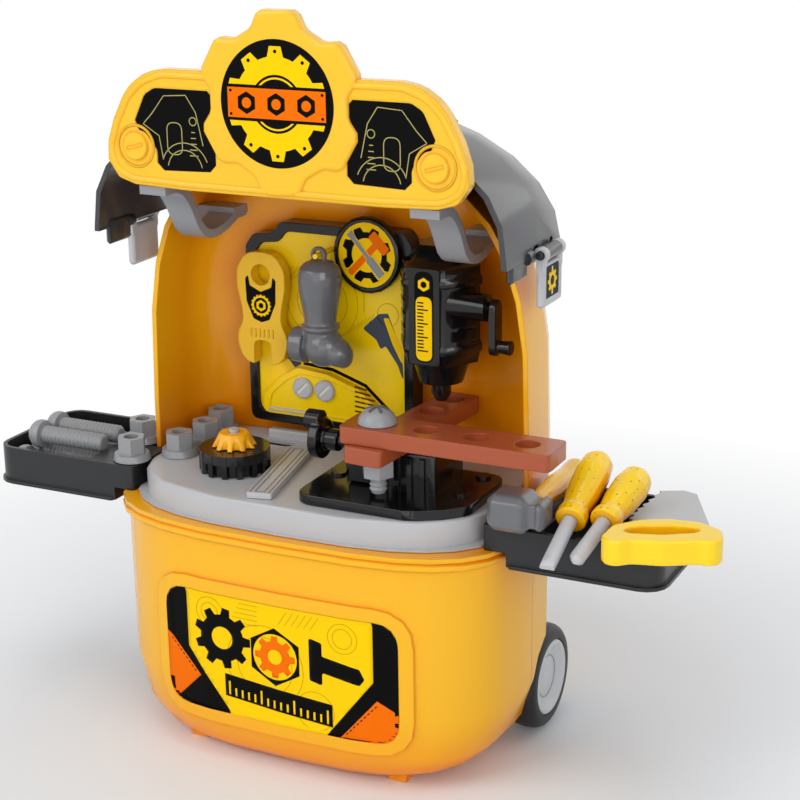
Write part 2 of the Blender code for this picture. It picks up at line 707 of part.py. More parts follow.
def build_gears():
    """Crown gear with teeth hanging down, and a loose bevel gear above it on the same post."""
    middle = (CROWN_LOW + CROWN_HIGH) / 2
    outline = gear_outline(CROWN_TEETH, CROWN_ROOT, CROWN_TIP)
    crown = outline_solid("crown_gear", [outline], CROWN_HIGH - CROWN_LOW, facing_up(middle, *POST_CENTRE),
                          CHARCOAL, PARTS)
    join(crown, cylinder("crown_disc", (*POST_CENTRE, CROWN_TOOTH_TOP), (*POST_CENTRE, CROWN_HIGH), CROWN_TIP))
    cut(crown, cylinder("crown_recess", (*POST_CENTRE, CROWN_LOW - OVERRUN), (*POST_CENTRE, CROWN_TOOTH_TOP),
                        CROWN_ROOT - TRAY_WALL))
    bore_post(crown)
    low = CROWN_HIGH + GAP
    outline = gear_outline(BEVEL_TEETH, BEVEL_ROOT, BEVEL_TIP)
    bevel = outline_solid("bevel_gear", [outline], BEVEL_HIGH - low, facing_up((low + BEVEL_HIGH) / 2, *POST_CENTRE),
                          YELLOW, PARTS)
    keep(bevel, cylinder("bevel_cone", (*POST_CENTRE, low), (*POST_CENTRE, BEVEL_HIGH), BEVEL_TIP,
                         end_radius=BEVEL_TOP_RADIUS))
    bore_post(bevel)


# Side trays
TRAY_FLOOR = TRAY_BOTTOM + TRAY_WALL
TRAY_INNER_CORNER = 2 * MM
LAND_WALL = 2.5 * MM
CORNER_STEPS = 4


def tray_outline(side, low_x, high_x, front, rear, outer_corner, inner_corner, tab_x=None):
    """Tray seen from above, rounded more at its outer corners, with its tab at the inner front."""
    first_x = low_x if tab_x is None else tab_x
    corners = (((first_x, front), inner_corner, 180), ((high_x, front), outer_corner, 270),
               ((high_x, rear), outer_corner, 0), ((low_x, rear), inner_corner, 90))
    points = []
    for (across, along), radius, start in corners:
        centre_x = across + (-radius if across == high_x else radius)
        centre_y = along + (-radius if along == rear else radius)
        for step in range(CORNER_STEPS + 1):
            angle = math.radians(start + 90 * step / CORNER_STEPS)
            points.append((side * (centre_x + radius * math.cos(angle)), centre_y + radius * math.sin(angle)))
    if tab_x is not None:
        points += [(side * low_x, TRAY_TAB_REAR), (side * tab_x, TRAY_TAB_REAR)]
    return points if side > 0 else list(reversed(points))


def tray_block(name, side, margin, low, high, inner_x, material=None, group=CUTTERS, tab_x=None):
    outline = tray_outline(side, inner_x, TRAY_REACH + margin, -TRAY_FRONT - margin, TRAY_REAR + margin,
                           TRAY_CORNER + margin, TRAY_INNER_CORNER, tab_x)
    return outline_solid(name, [outline], high - low, facing_up((low + high) / 2), material, group)


def build_tray(side, word):
    """Tray with a land at its inner end that hooks over the rim of the body."""
    tray = tray_block(word + "_tray", side, 0, TRAY_BOTTOM + GAP, TRAY_TOP, TRAY_INNER_X, CHARCOAL, PARTS, TRAY_TAB_X)
    cut(tray, mirrored_box("under_tab", side, (TRAY_TAB_X - OVERRUN, -TRAY_FRONT - OVERRUN, TRAY_BOTTOM - OVERRUN),
                           (TRAY_INNER_X, TRAY_REAR + OVERRUN, TRAY_TAB_LOW)))
    join(tray, tray_block("tray_foot", side, TRAY_FOOT_LIP, TRAY_BOTTOM, TRAY_BOTTOM + TRAY_FOOT_HEIGHT,
                          TRAY_INNER_X + LAND_WALL / 2))
    cut(tray, tray_block("tray_pocket", side, -TRAY_WALL, TRAY_FLOOR, TRAY_TOP + OVERRUN, TRAY_LAND_X))
    cut(tray, mirrored_box("land_hollow", side,
                           (TRAY_INNER_X + LAND_WALL, -TRAY_FRONT + LAND_WALL, TRAY_BOTTOM - OVERRUN),
                           (TRAY_LAND_X - LAND_WALL, TRAY_REAR - LAND_WALL, TRAY_TOP - LAND_WALL)))


# Loose nuts and bolts
NUT_FLANGE_RADIUS = 11.5 * MM
NUT_FLANGE_HEIGHT = 4 * MM
NUT_HEX_RADIUS = 8.8 * MM
NUT_HEIGHT = 14 * MM
NUT_BORE = 4.5 * MM
NUT_ON_TRAY = ((-121.8 * MM, -29 * MM), (-135 * MM, 3.4 * MM))
NUT_ON_DECK = ((-98 * MM, -13 * MM), (-95 * MM, 12 * MM), (-99 * MM, 37 * MM))
BOLT_LENGTH_SHARE = 0.68
BOLT_END_PLAY = 3.5 * MM
BOLT_HIGH_SHIFT_SHARE = 0.1
BOLT_HIGH_SINK = 1.1 * MM
BOLT_SHAFT = 5.4 * MM
BOLT_HEAD = 9 * MM
BOLT_HEAD_LENGTH = 9 * MM
BOLT_HEAD_SHARES = ((0, 1), (0.55, 1), (0.9, 0.7), (1, 0.3), (1, 0))
BOLT_FIRST_Y = -29 * MM
BOLT_LOW_COUNT = 4
BOLT_HIGH_COUNT = 2


def build_nuts():
    seats = [(spot, TRAY_TOP) for spot in NUT_ON_TRAY] + [(spot, DECK_TOP) for spot in NUT_ON_DECK]
    for index, (spot, height) in enumerate(seats):
        low = height + GAP
        hexagon = round_outline(NUT_HEX_RADIUS, 6)
        nut = outline_solid("flange_nut_" + str(index + 1), [hexagon], NUT_HEIGHT,
                            facing_up(low + NUT_HEIGHT / 2, *spot), MID_GREY, PARTS)
        join(nut, cylinder("nut_flange", (*spot, low), (*spot, low + NUT_FLANGE_HEIGHT), NUT_FLANGE_RADIUS,
                           end_radius=NUT_FLANGE_RADIUS - NUT_FLANGE_HEIGHT / 4))
        cut(nut, cylinder("nut_bore", (*spot, low - OVERRUN), (*spot, low + NUT_HEIGHT + OVERRUN), NUT_BORE,
                          sides=14))


def build_bolts():
    """Bolts heaped in the left tray: a low row, and two in the grooves between its heads."""
    pitch = 2 * BOLT_HEAD + GAP
    low_z = TRAY_FLOOR + GAP + BOLT_HEAD
    high_z = low_z + math.sqrt((pitch - BOLT_HIGH_SINK) ** 2 - (pitch / 2) ** 2)
    spots = [(BOLT_FIRST_Y + pitch * index, low_z) for index in range(BOLT_LOW_COUNT)]
    spots += [(BOLT_FIRST_Y + pitch * (index + 0.5), high_z) for index in range(BOLT_HIGH_COUNT)]
    pocket = TRAY_REACH - TRAY_WALL - TRAY_LAND_X
    end, length = TRAY_REACH - TRAY_WALL - BOLT_END_PLAY, pocket * BOLT_LENGTH_SHARE
    profile = profile_at(BOLT_HEAD_SHARES, BOLT_HEAD, 0, BOLT_HEAD_LENGTH)
    profile += [(BOLT_SHAFT, 0), (BOLT_SHAFT, DECK_EDGE - length), (BOLT_SHAFT - DECK_EDGE, -length), (0, -length)]
    for index, (depth, height) in enumerate(spots):
        shift = pocket * BOLT_HIGH_SHIFT_SHARE if index >= BOLT_LOW_COUNT else 0
        place = side_place(-1, end - BOLT_HEAD_LENGTH - shift, depth, height)
        turned("tray_bolt_" + str(index + 1), profile, place, MID_GREY, 10)


# Tool board
BOARD_LEFT = -81 * MM
BOARD_RIGHT = 31 * MM
BOARD_LOW = 170 * MM
BOARD_HIGH = 297 * MM
BOARD_FRONT = 44 * MM
BOARD_REAR = 58.6 * MM
BOARD_BORDER = 6 * MM
PANEL_FRONT = 46 * MM
PANEL_REAR = 50 * MM
BOARD_SHARES = ((0, 0), (1, 0), (1, 0.93), (0.95, 1), (0.22, 1), (0.17, 0.94), (0.05, 0.93), (0, 0.87))
RACK_SHARES = ((0, 0), (1, 0), (0.9, 0.28), (0.74, 0.7), (0.5, 0.94), (0.28, 1), (0.16, 0.8), (0.03, 0.4))
RACK_LEFT = -71 * MM
RACK_RIGHT = 21 * MM
RACK_LOW = 177 * MM
RACK_HIGH = 208 * MM
RACK_FRONT = 40 * MM
SCREW_RADIUS = 6 * MM
SCREW_RISE = 1.6 * MM
SCREW_SLOT = 1.5 * MM
SCREW_SPOTS = ((-41 * MM, 196 * MM), (-26 * MM, 196 * MM))
PEG_RADIUS = 1.6 * MM
BADGE_CENTRE = (3.5 * MM, 282.5 * MM)
BADGE_RADIUS = 22 * MM
BADGE_THICKNESS = 4.6 * MM
BADGE_RIM = 3 * MM
BADGE_DISH = 1.2 * MM
BADGE_TALL_SHARE = 1.05


def shares_to_outline(shares, left, right, low, high):
    return [(left + (right - left) * across, low + (high - low) * up) for across, up in shares]


def board_outline(border):
    points = shares_to_outline(BOARD_SHARES, BOARD_LEFT + border, BOARD_RIGHT - border, BOARD_LOW + border,
                               BOARD_HIGH - border)
    return rounded_outline(points, BOARD_BORDER, 3)


def build_board():
    middle = (BOARD_FRONT + BOARD_REAR) / 2
    frame = outline_solid("board_frame", [board_outline(0)], BOARD_REAR - BOARD_FRONT, facing_front(middle), BLACK,
                          PARTS, DECK_EDGE)
    depth = PANEL_REAR + GAP - BOARD_FRONT + OVERRUN
    keep(frame, arch_skin("board_limit", -WALL - GAP, -OVERRUN, SHELL_LOW))
    cut(frame, outline_solid("panel_recess", [board_outline(BOARD_BORDER - GAP)], depth,
                             facing_front(PANEL_REAR + GAP - depth / 2)))
    panel = outline_solid("board_panel", [board_outline(BOARD_BORDER)], PANEL_REAR - PANEL_FRONT,
                          facing_front((PANEL_FRONT + PANEL_REAR) / 2), TOOL_YELLOW, PARTS)
    rack = rounded_outline(shares_to_outline(RACK_SHARES, RACK_LEFT, RACK_RIGHT, RACK_LOW, RACK_HIGH),
                           BOARD_BORDER, 3)
    depth = PANEL_FRONT + SCREW_RISE - RACK_FRONT
    rack = outline_solid("tool_rack", [rack], depth, facing_front(RACK_FRONT + depth / 2))
    front, slot = RACK_FRONT - SCREW_RISE, SCREW_SLOT / 2
    for across, up in SCREW_SPOTS:
        join(rack, cylinder("rack_screw", (across, front, up), (across, RACK_FRONT + SCREW_RISE, up), SCREW_RADIUS,
                            sides=14))
        cut(rack, box("screw_slot", (across - SCREW_RADIUS, front - OVERRUN, up - slot),
                      (across + SCREW_RADIUS, RACK_FRONT - SCREW_RISE / 2, up + slot)))
    peg_z = HAMMER_GRIP_TOP + HAMMER_RING_RISE / 2
    join(panel, rack)
    join(panel, cylinder("hammer_peg", (HAMMER_X, HAMMER_Y - HAMMER_RING, peg_z),
                         (HAMMER_X, PANEL_FRONT + SCREW_RISE, peg_z), PEG_RADIUS, sides=12))


def build_badge():
    """Round badge with a raised rim, on the top edge of the board."""
    half = BADGE_THICKNESS / 2
    profile = [(0, half - BADGE_DISH), (BADGE_RADIUS - BADGE_RIM, half - BADGE_DISH),
               (BADGE_RADIUS - BADGE_RIM, half), (BADGE_RADIUS - BADGE_DISH, half),
               (BADGE_RADIUS, half - BADGE_DISH), (BADGE_RADIUS, -half), (0, -half)]
    place = facing_front(BOARD_FRONT - GAP - half, *BADGE_CENTRE) @ Matrix.Diagonal((1, BADGE_TALL_SHARE, 1, 1))
    turned("badge", profile, place, BLACK, LARGE_SIDES)


# Wrench and claw hammer on the board
WRENCH_X = -66.5 * MM
WRENCH_LOW = 209 * MM
WRENCH_HIGH = 279 * MM
WRENCH_HALF = 17 * MM
WRENCH_THICKNESS = 8 * MM
WRENCH_HALF_SHARES = ((0.45, 0), (0.8, 0.03), (1, 0.17), (1, 0.27), (0.76, 0.38), (0.8, 0.5), (0.97, 0.68),
                      (0.97, 0.84), (0.62, 0.98), (0.2, 1))
JAW_HALF = 6 * MM
JAW_DEPTH = 15 * MM
EYE_RADIUS = 6.5 * MM
EYE_DROP = 14 * MM


def mirrored_shares(half_shares):
    return list(half_shares) + [(-across, up) for across, up in reversed(half_shares)]


def build_wrench():
    points = [(across * WRENCH_HALF, WRENCH_LOW + up * (WRENCH_HIGH - WRENCH_LOW))
              for across, up in mirrored_shares(WRENCH_HALF_SHARES)]
    middle = BOARD_FRONT - GAP - WRENCH_THICKNESS / 2
    place = facing_front(middle, WRENCH_X)
    wrench = outline_solid("wrench", [rounded_outline(points, JAW_HALF, 1)], WRENCH_THICKNESS, place, TOOL_YELLOW,
                           PARTS, DECK_EDGE)
    depth = 2 * WRENCH_THICKNESS
    jaw_low = WRENCH_LOW - OVERRUN
    jaw = rounded_rectangle((-JAW_HALF, jaw_low), (JAW_HALF, WRENCH_LOW + JAW_DEPTH), JAW_HALF * 0.7, 2)
    cut(wrench, outline_solid("wrench_jaw", [jaw], depth, place))
    cut(wrench, outline_solid("wrench_eye", [round_outline(EYE_RADIUS, 16, (0, WRENCH_HIGH - EYE_DROP))], depth,
                              place))


HAMMER_X = -20.8 * MM
HAMMER_Y = 26.4 * MM
HAMMER_GRIP_TOP = 281 * MM
HAMMER_BULB = 13 * MM
HAMMER_HEAD_Z = 228 * MM
HAMMER_HEAD_RADIUS = 11 * MM
HAMMER_FACE_X = -39.5 * MM
HAMMER_CLAW_X = -5 * MM
HAMMER_CLAW_LOW = 222 * MM
HAMMER_CLAW_TIP = 5 * MM
HAMMER_HANDLE_SHARES = ((0, 1), (0.55, 0.96), (0.88, 0.86), (1, 0.72), (0.92, 0.55), (0.68, 0.28), (0.68, 0.22),
                        (0.8, 0.2), (0.8, 0.12), (0.66, 0.08), (0.66, 0), (0, 0))
HAMMER_HEAD_SHARES = (1.15, 1, 1)
HAMMER_CLAW_SHARE = 0.8
HAMMER_RING_RISE = 5 * MM
HAMMER_RING = 5 * MM
HAMMER_RING_BORE = 2.4 * MM


def build_claw_hammer():
    """Hammer hung with its head down: a bulb grip, a round face and a drooping claw."""
    top, head = HAMMER_GRIP_TOP, HAMMER_HEAD_Z
    profile = profile_at(HAMMER_HANDLE_SHARES, HAMMER_BULB, head, top - head)
    hammer = turned("claw_hammer", profile, Matrix.Translation((HAMMER_X, HAMMER_Y, 0)), TOOL_GREY, 14)
    join(hammer, ball("hammer_head", (HAMMER_X + HAMMER_RING / 2, HAMMER_Y, head),
                      [HAMMER_HEAD_RADIUS * share for share in HAMMER_HEAD_SHARES]))
    join(hammer, cylinder("hammer_face", (HAMMER_FACE_X, HAMMER_Y, head), (HAMMER_X, HAMMER_Y, head),
                          HAMMER_HEAD_RADIUS - DECK_EDGE, sides=12))
    claw_tip = (HAMMER_CLAW_X, HAMMER_Y, HAMMER_CLAW_LOW)
    join(hammer, cylinder("hammer_claw", (HAMMER_X, HAMMER_Y, head), claw_tip,
                          HAMMER_HEAD_RADIUS * HAMMER_CLAW_SHARE, sides=16, end_radius=HAMMER_CLAW_TIP))
    ring = [round_outline(HAMMER_RING, 14), round_outline(HAMMER_RING_BORE, 12)]
    join(hammer, outline_solid("hammer_ring", ring, HAMMER_RING, facing_front(HAMMER_Y, HAMMER_X,
                                                                           top + HAMMER_RING_RISE / 2)))


# Bench drill
DRILL_X = 55 * MM
DRILL_Y = 32 * MM
DRILL_RADIUS = 24.5 * MM
DRILL_LOW = 228.5 * MM
DRILL_HIGH = 287 * MM
DRILL_CAP_TOP = 297 * MM
DRILL_CAP_RADIUS = 14 * MM
DRILL_NOSE_RADIUS = 20 * MM
DRILL_NOSE_BASE = 17.6 * MM
DRILL_TIP_RADIUS = 13 * MM
DRILL_TIP_Z = 215 * MM
DRILL_BAND = 1.4 * MM
DRILL_BAND_HALF = 3 * MM
DRILL_BAND_SHARES = ((-1, 0), (-0.6, 1), (0.6, 1), (1, 0))
DRILL_BANDS = (238 * MM, 277 * MM)
DRILL_BRACKET_HALF = 12 * MM
DRILL_BRACKET_REAR = 57.1 * MM
CHUCK_RADIUS = 5.8 * MM
CHUCK_LOW = 203 * MM
CHUCK_TIP_RADIUS = 3.5 * MM
CHUCK_TAPER = 4 * MM
SPINDLE_RADIUS = 3.5 * MM
SPINDLE_TOP = 225 * MM
CRANK_BOSS_RADIUS = 8 * MM
CRANK_BOSS_X = 90 * MM
CRANK_Y = 19 * MM
CRANK_Z = 264.8 * MM
CRANK_AXLE_RADIUS = 3 * MM
CRANK_AXLE_START = 74 * MM
CRANK_ARM_X = 92 * MM
CRANK_ARM_THICKNESS = 4.5 * MM
CRANK_THROW = 22 * MM
CRANK_ARM_HALF = 5.5 * MM
CRANK_KNOB_END = 104.5 * MM
CRANK_KNOB_RADIUS = 4.4 * MM
CRANK_KNOB_NECK_SHARE = 0.75


def build_drill():
    """Six-sided drill body on a bracket, with its hand crank and the chuck it drives."""
    axis = (DRILL_X, DRILL_Y)
    levels = [(DRILL_RADIUS - DECK_EDGE, DRILL_LOW)]
    for height in DRILL_BANDS:
        levels += [(DRILL_RADIUS + out * DRILL_BAND, height + up * DRILL_BAND_HALF) for up, out in DRILL_BAND_SHARES]
    levels += [(DRILL_RADIUS, DRILL_HIGH - DECK_EDGE), (DRILL_NOSE_RADIUS, DRILL_HIGH),
               (DRILL_CAP_RADIUS, DRILL_CAP_TOP)]
    rings = [[Vector((DRILL_X + across, DRILL_Y + along, height)) for across, along in round_outline(radius, 6)]
             for radius, height in levels]
    body = loft("drill_body", rings, BLACK, PARTS)
    join(body, cylinder("drill_nose", (*axis, DRILL_TIP_Z), (*axis, DRILL_LOW + DRILL_BAND), DRILL_TIP_RADIUS,
                        end_radius=DRILL_NOSE_BASE))
    join(body, cylinder("crank_boss", (DRILL_X, CRANK_Y, CRANK_Z), (CRANK_BOSS_X, CRANK_Y, CRANK_Z),
                        CRANK_BOSS_RADIUS, sides=12))
    join(body, box("drill_bracket", (DRILL_X - DRILL_BRACKET_HALF, DRILL_Y, DRILL_LOW + DRILL_BAND_HALF * 4),
                   (DRILL_X + DRILL_BRACKET_HALF, DRILL_BRACKET_REAR, DRILL_HIGH - DRILL_BAND_HALF * 4)))
    cut(body, cylinder("spindle_bore", (*axis, DRILL_TIP_Z - OVERRUN), (*axis, SPINDLE_TOP + POST_CLEARANCE),
                       SPINDLE_RADIUS + POST_CLEARANCE, sides=12))
    cut(body, cylinder("crank_bore", (CRANK_AXLE_START - POST_CLEARANCE, CRANK_Y, CRANK_Z),
                       (CRANK_BOSS_X + OVERRUN, CRANK_Y, CRANK_Z), CRANK_AXLE_RADIUS + POST_CLEARANCE, sides=12))
    chuck_top = DRILL_TIP_Z - GAP
    profile = [(0, SPINDLE_TOP), (SPINDLE_RADIUS, SPINDLE_TOP), (SPINDLE_RADIUS, chuck_top),
               (CHUCK_RADIUS, chuck_top), (CHUCK_RADIUS, CHUCK_LOW + CHUCK_TAPER), (CHUCK_TIP_RADIUS, CHUCK_LOW),
               (0, CHUCK_LOW)]
    turned("drill_chuck", profile, Matrix.Translation((*axis, 0)), BLACK, 14)
    build_crank()


def build_crank():
    arm = slot_outline((0, 0), CRANK_THROW / 2 + CRANK_ARM_HALF, CRANK_ARM_HALF)
    place = facing_side(CRANK_ARM_X + CRANK_ARM_THICKNESS / 2) @ Matrix.Translation(
        (CRANK_Y, CRANK_Z - CRANK_THROW / 2, 0)) @ Matrix.Rotation(math.radians(90), 4, "Z")
    crank = outline_solid("drill_crank", [arm], CRANK_ARM_THICKNESS, place, BLACK, PARTS, TRAY_WALL / 3)
    middle = CRANK_ARM_X + CRANK_ARM_THICKNESS / 2
    join(crank, cylinder("crank_axle", (CRANK_AXLE_START, CRANK_Y, CRANK_Z), (middle, CRANK_Y, CRANK_Z),
                         CRANK_AXLE_RADIUS, sides=12))
    knob_z = CRANK_Z - CRANK_THROW
    join(crank, cylinder("crank_knob", (middle, CRANK_Y, knob_z), (CRANK_KNOB_END, CRANK_Y, knob_z),
                         CRANK_KNOB_RADIUS * CRANK_KNOB_NECK_SHARE, sides=14, end_radius=CRANK_KNOB_RADIUS))


# Vise
VISE_LEFT = 5 * MM
VISE_RIGHT = 104 * MM
VISE_FRONT = -59 * MM
VISE_REAR = 16 * MM
PLATE_TOP = 168 * MM
PLATE_CORNER = 12 * MM
PLATE_MARGIN = 2.5 * MM
BLOCK_LEFT = 41 * MM
BLOCK_RIGHT = 80 * MM
BLOCK_FRONT = -31 * MM
BLOCK_REAR = 8 * MM
BLOCK_TOP = 191.5 * MM
BLOCK_RIB = 1.5 * MM
BLOCK_RIB_COUNT = 4
JAW_LEFT = 25 * MM
JAW_PAD = 2 * MM
JAW_TRAVEL_GAP = 1 * MM
RAIL_HALF = 5 * MM
RAIL_TOP = 174 * MM
SCREW_Y = -11.5 * MM
SCREW_Z = 185 * MM
VISE_SCREW_RADIUS = 4 * MM
VISE_SCREW_END = 72 * MM
WHEEL_RIM_X = -5 * MM
WHEEL_RIM_WIDTH = 6 * MM
HAND_WHEEL_RADIUS = 12 * MM
HAND_KNOB_RADIUS = 6.5 * MM
HAND_KNOB_RISE = 17 * MM
VISE_BORE = 4.5 * MM
PLATE_SCREWS = ((14 * MM, -20 * MM), (14 * MM, 8 * MM), (92 * MM, -22 * MM), (92 * MM, 8 * MM))
PLATE_SCREW_RADIUS = 4.5 * MM
PLATE_SCREW_RISE = 1.5 * MM


def build_vise():
    """Plate with a ribbed rear block and a rail, a sliding jaw and the screw that moves it."""
    plate = rounded_rectangle((VISE_LEFT, VISE_FRONT), (VISE_RIGHT, VISE_REAR), PLATE_CORNER, 5)
    low = DECK_TOP + GAP
    base = outline_solid("vise_base", [plate], PLATE_TOP - low, facing_up((low + PLATE_TOP) / 2), BLACK, PARTS,
                         DECK_EDGE * 0.7)
    keep(base, loft("plate_limit", [deck_ring(DECK_TOP - WALL, -PLATE_MARGIN), deck_ring(SHELL_TOP, -PLATE_MARGIN)]))
    join(base, box("vise_block", (BLOCK_LEFT, BLOCK_FRONT, PLATE_TOP - DECK_EDGE),
                   (BLOCK_RIGHT, BLOCK_REAR, BLOCK_TOP), bevel=DECK_EDGE))
    pitch = (BLOCK_RIGHT - BLOCK_LEFT) / (BLOCK_RIB_COUNT + 1)
    for index in range(BLOCK_RIB_COUNT):
        middle = BLOCK_LEFT + pitch * (index + 1)
        join(base, box("block_rib", (middle - BLOCK_RIB, BLOCK_FRONT - BLOCK_RIB, PLATE_TOP - 2 * DECK_EDGE),
                       (middle + BLOCK_RIB, BLOCK_REAR + BLOCK_RIB, BLOCK_TOP - 2 * BLOCK_RIB)))
    join(base, box("vise_rail", (VISE_LEFT + PLATE_CORNER, SCREW_Y - RAIL_HALF, PLATE_TOP - DECK_EDGE),
                   (BLOCK_LEFT + 2 * DECK_EDGE, SCREW_Y + RAIL_HALF, RAIL_TOP)))
    for across, along in PLATE_SCREWS:
        join(base, cylinder("plate_screw", (across, along, PLATE_TOP - DECK_EDGE),
                            (across, along, PLATE_TOP + PLATE_SCREW_RISE), PLATE_SCREW_RADIUS, sides=12))
    cut(base, cylinder("vise_bore", (JAW_LEFT, SCREW_Y, SCREW_Z), (VISE_SCREW_END + DECK_EDGE, SCREW_Y, SCREW_Z),
                       VISE_BORE, sides=12))
    build_vise_jaw()
    build_vise_screw()


def build_vise_jaw():
    right = BLOCK_LEFT - JAW_TRAVEL_GAP
    jaw = box("vise_jaw", (JAW_LEFT, BLOCK_FRONT, PLATE_TOP + GAP), (right, BLOCK_REAR, BLOCK_TOP), BLACK, PARTS,
              DECK_EDGE)
    join(jaw, box("jaw_pad", (JAW_LEFT - JAW_PAD, SCREW_Y - 2 * RAIL_HALF, RAIL_TOP + DECK_EDGE),
                  (right - JAW_PAD, SCREW_Y + 2 * RAIL_HALF, BLOCK_TOP + JAW_PAD / 2)))
    cut(jaw, box("jaw_groove", (JAW_LEFT - OVERRUN, SCREW_Y - RAIL_HALF - GAP, PLATE_TOP - OVERRUN),
                 (BLOCK_LEFT + OVERRUN, SCREW_Y + RAIL_HALF + GAP, RAIL_TOP + GAP)))
    cut(jaw, cylinder("jaw_bore", (JAW_LEFT - OVERRUN, SCREW_Y, SCREW_Z), (BLOCK_LEFT + OVERRUN, SCREW_Y, SCREW_Z),
                      VISE_BORE, sides=12))


def build_vise_screw():
    """Hand wheel, its offset knob and the shaft that runs into the block."""
    outer = WHEEL_RIM_X + WHEEL_RIM_WIDTH
    screw = cylinder("vise_screw", (WHEEL_RIM_X + DECK_EDGE, SCREW_Y, SCREW_Z), (VISE_SCREW_END, SCREW_Y, SCREW_Z),
                     VISE_SCREW_RADIUS, BLACK, PARTS, 16)
    join(screw, cylinder("hand_wheel", (WHEEL_RIM_X, SCREW_Y, SCREW_Z), (outer, SCREW_Y, SCREW_Z),
                         HAND_WHEEL_RADIUS, sides=24))
    join(screw, cylinder("wheel_collar", (outer - DECK_EDGE, SCREW_Y, SCREW_Z),
                         (outer + 2 * OVERRUN, SCREW_Y, SCREW_Z), HAND_KNOB_RADIUS, sides=12))
    knob_z = SCREW_Z + HAND_KNOB_RISE - HAND_KNOB_RADIUS
    join(screw, cylinder("hand_knob", (WHEEL_RIM_X - OVERRUN, SCREW_Y, knob_z), (outer - DECK_EDGE, SCREW_Y, knob_z),
                         HAND_KNOB_RADIUS, sides=12))


# Planks with the bolt and nut that join them
LONG_LEFT = 34 * MM
LONG_RIGHT = 157.5 * MM
LONG_FRONT = -58.5 * MM
LONG_REAR = -30.5 * MM
PLANK_THICKNESS = 9.5 * MM
CROSS_LOW = BLOCK_TOP + GAP
CROSS_HIGH = CROSS_LOW + PLANK_THICKNESS
LONG_LOW = CROSS_HIGH + GAP
LONG_HIGH = LONG_LOW + PLANK_THICKNESS
LONG_HOLE_SHARES = (0.142, 0.381, 0.619, 0.858)
LONG_HOLE_XS = [LONG_LEFT + (LONG_RIGHT - LONG_LEFT) * share for share in LONG_HOLE_SHARES]
HOLE_RADIUS = 7 * MM
BOLT_HOLE_RADIUS = 5.4 * MM
PLANK_CORNER = 4 * MM
PIVOT = (LONG_HOLE_XS[0], (LONG_FRONT + LONG_REAR) / 2)
CROSS_HALF = 12 * MM
CROSS_FRONT = -18.5 * MM
CROSS_REAR = 98 * MM
CROSS_TURN = -4.6
CROSS_HOLES = (30 * MM, 60 * MM, 85 * MM)
PLANK_BOLT_RADIUS = 5 * MM
PLANK_BOLT_HEAD = 11 * MM
PLANK_HEAD_HEIGHT = 9 * MM
PLANK_HEAD_SHARES = ((0, 1), (0.5, 0.93), (0.85, 0.67), (1, 0.33), (1, 0))
PLANK_NUT_RADIUS = 9.4 * MM
PLANK_NUT_HEIGHT = 11 * MM
PLANK_BOLT_BELOW = 10 * MM


def build_planks():
    middle = (LONG_LOW + LONG_HIGH) / 2
    outline = rounded_rectangle((LONG_LEFT, LONG_FRONT), (LONG_RIGHT, LONG_REAR), PLANK_CORNER)
    holes = [round_outline(BOLT_HOLE_RADIUS, 12, PIVOT)]
    holes += [round_outline(HOLE_RADIUS, 10, (across, PIVOT[1])) for across in LONG_HOLE_XS[1:]]
    outline_solid("long_plank", [outline] + holes, LONG_HIGH - LONG_LOW, facing_up(middle), BROWN, PARTS, DECK_EDGE)
    outline = rounded_rectangle((-CROSS_HALF, CROSS_FRONT), (CROSS_HALF, CROSS_REAR), PLANK_CORNER)
    holes = [round_outline(BOLT_HOLE_RADIUS, 12)]
    holes += [round_outline(HOLE_RADIUS, 10, (0, depth)) for depth in CROSS_HOLES]
    place = facing_up((CROSS_LOW + CROSS_HIGH) / 2, *PIVOT) @ Matrix.Rotation(math.radians(CROSS_TURN), 4, "Z")
    outline_solid("cross_plank", [outline] + holes, CROSS_HIGH - CROSS_LOW, place, BROWN, PARTS, DECK_EDGE)
    under = LONG_HIGH + GAP
    high = CROSS_LOW - GAP
    nut_low = high - PLANK_NUT_HEIGHT
    end = nut_low - PLANK_BOLT_BELOW
    profile = profile_at(PLANK_HEAD_SHARES, PLANK_BOLT_HEAD, under, PLANK_HEAD_HEIGHT)
    profile += [(PLANK_BOLT_RADIUS, under), (PLANK_BOLT_RADIUS, end), (0, end)]
    turned("plank_bolt", profile, Matrix.Translation((*PIVOT, 0)), MID_GREY, 16)
    outlines = [round_outline(PLANK_NUT_RADIUS, 6), round_outline(BOLT_HOLE_RADIUS, 12)]
    outline_solid("plank_nut", outlines, PLANK_NUT_HEIGHT, facing_up((nut_low + high) / 2, *PIVOT), MID_GREY, PARTS,
                  GAP)


# Tools in the right tray
MALLET_LEFT = 118.5 * MM
MALLET_SPLIT = 143 * MM
MALLET_RIGHT = 151.3 * MM
MALLET_FRONT = -53 * MM
MALLET_REAR = -30 * MM
MALLET_LOW = TRAY_TOP + 2 * GAP
MALLET_HIGH = 182.5 * MM
MALLET_NECK = 4 * MM
MALLET_SMALLER = 2.5 * MM
MALLET_HANDLE_START = (138.5 * MM, -28.8 * MM, 171.5 * MM)
MALLET_HANDLE_END = (136.1 * MM, 44 * MM, 168.5 * MM)
MALLET_HANDLE_RADIUS = 7.4 * MM
MALLET_TENON_RADIUS = 4.5 * MM
MALLET_TENON = 9 * MM
MALLET_SOCKET = 13.5 * MM
MALLET_HANDLE_SHARES = ((0, 1), (0.6, 0.98), (1, 0.93), (0.9, 0.7), (1, 0.45), (0.8, 0.12), (0.8, 0))


def axis_place(start, end):
    """Local Z from start to end."""
    axis = Vector(end) - Vector(start)
    turn = Vector((0, 0, 1)).rotation_difference(axis).to_matrix().to_4x4()
    return Matrix.Translation(start) @ turn, axis.length


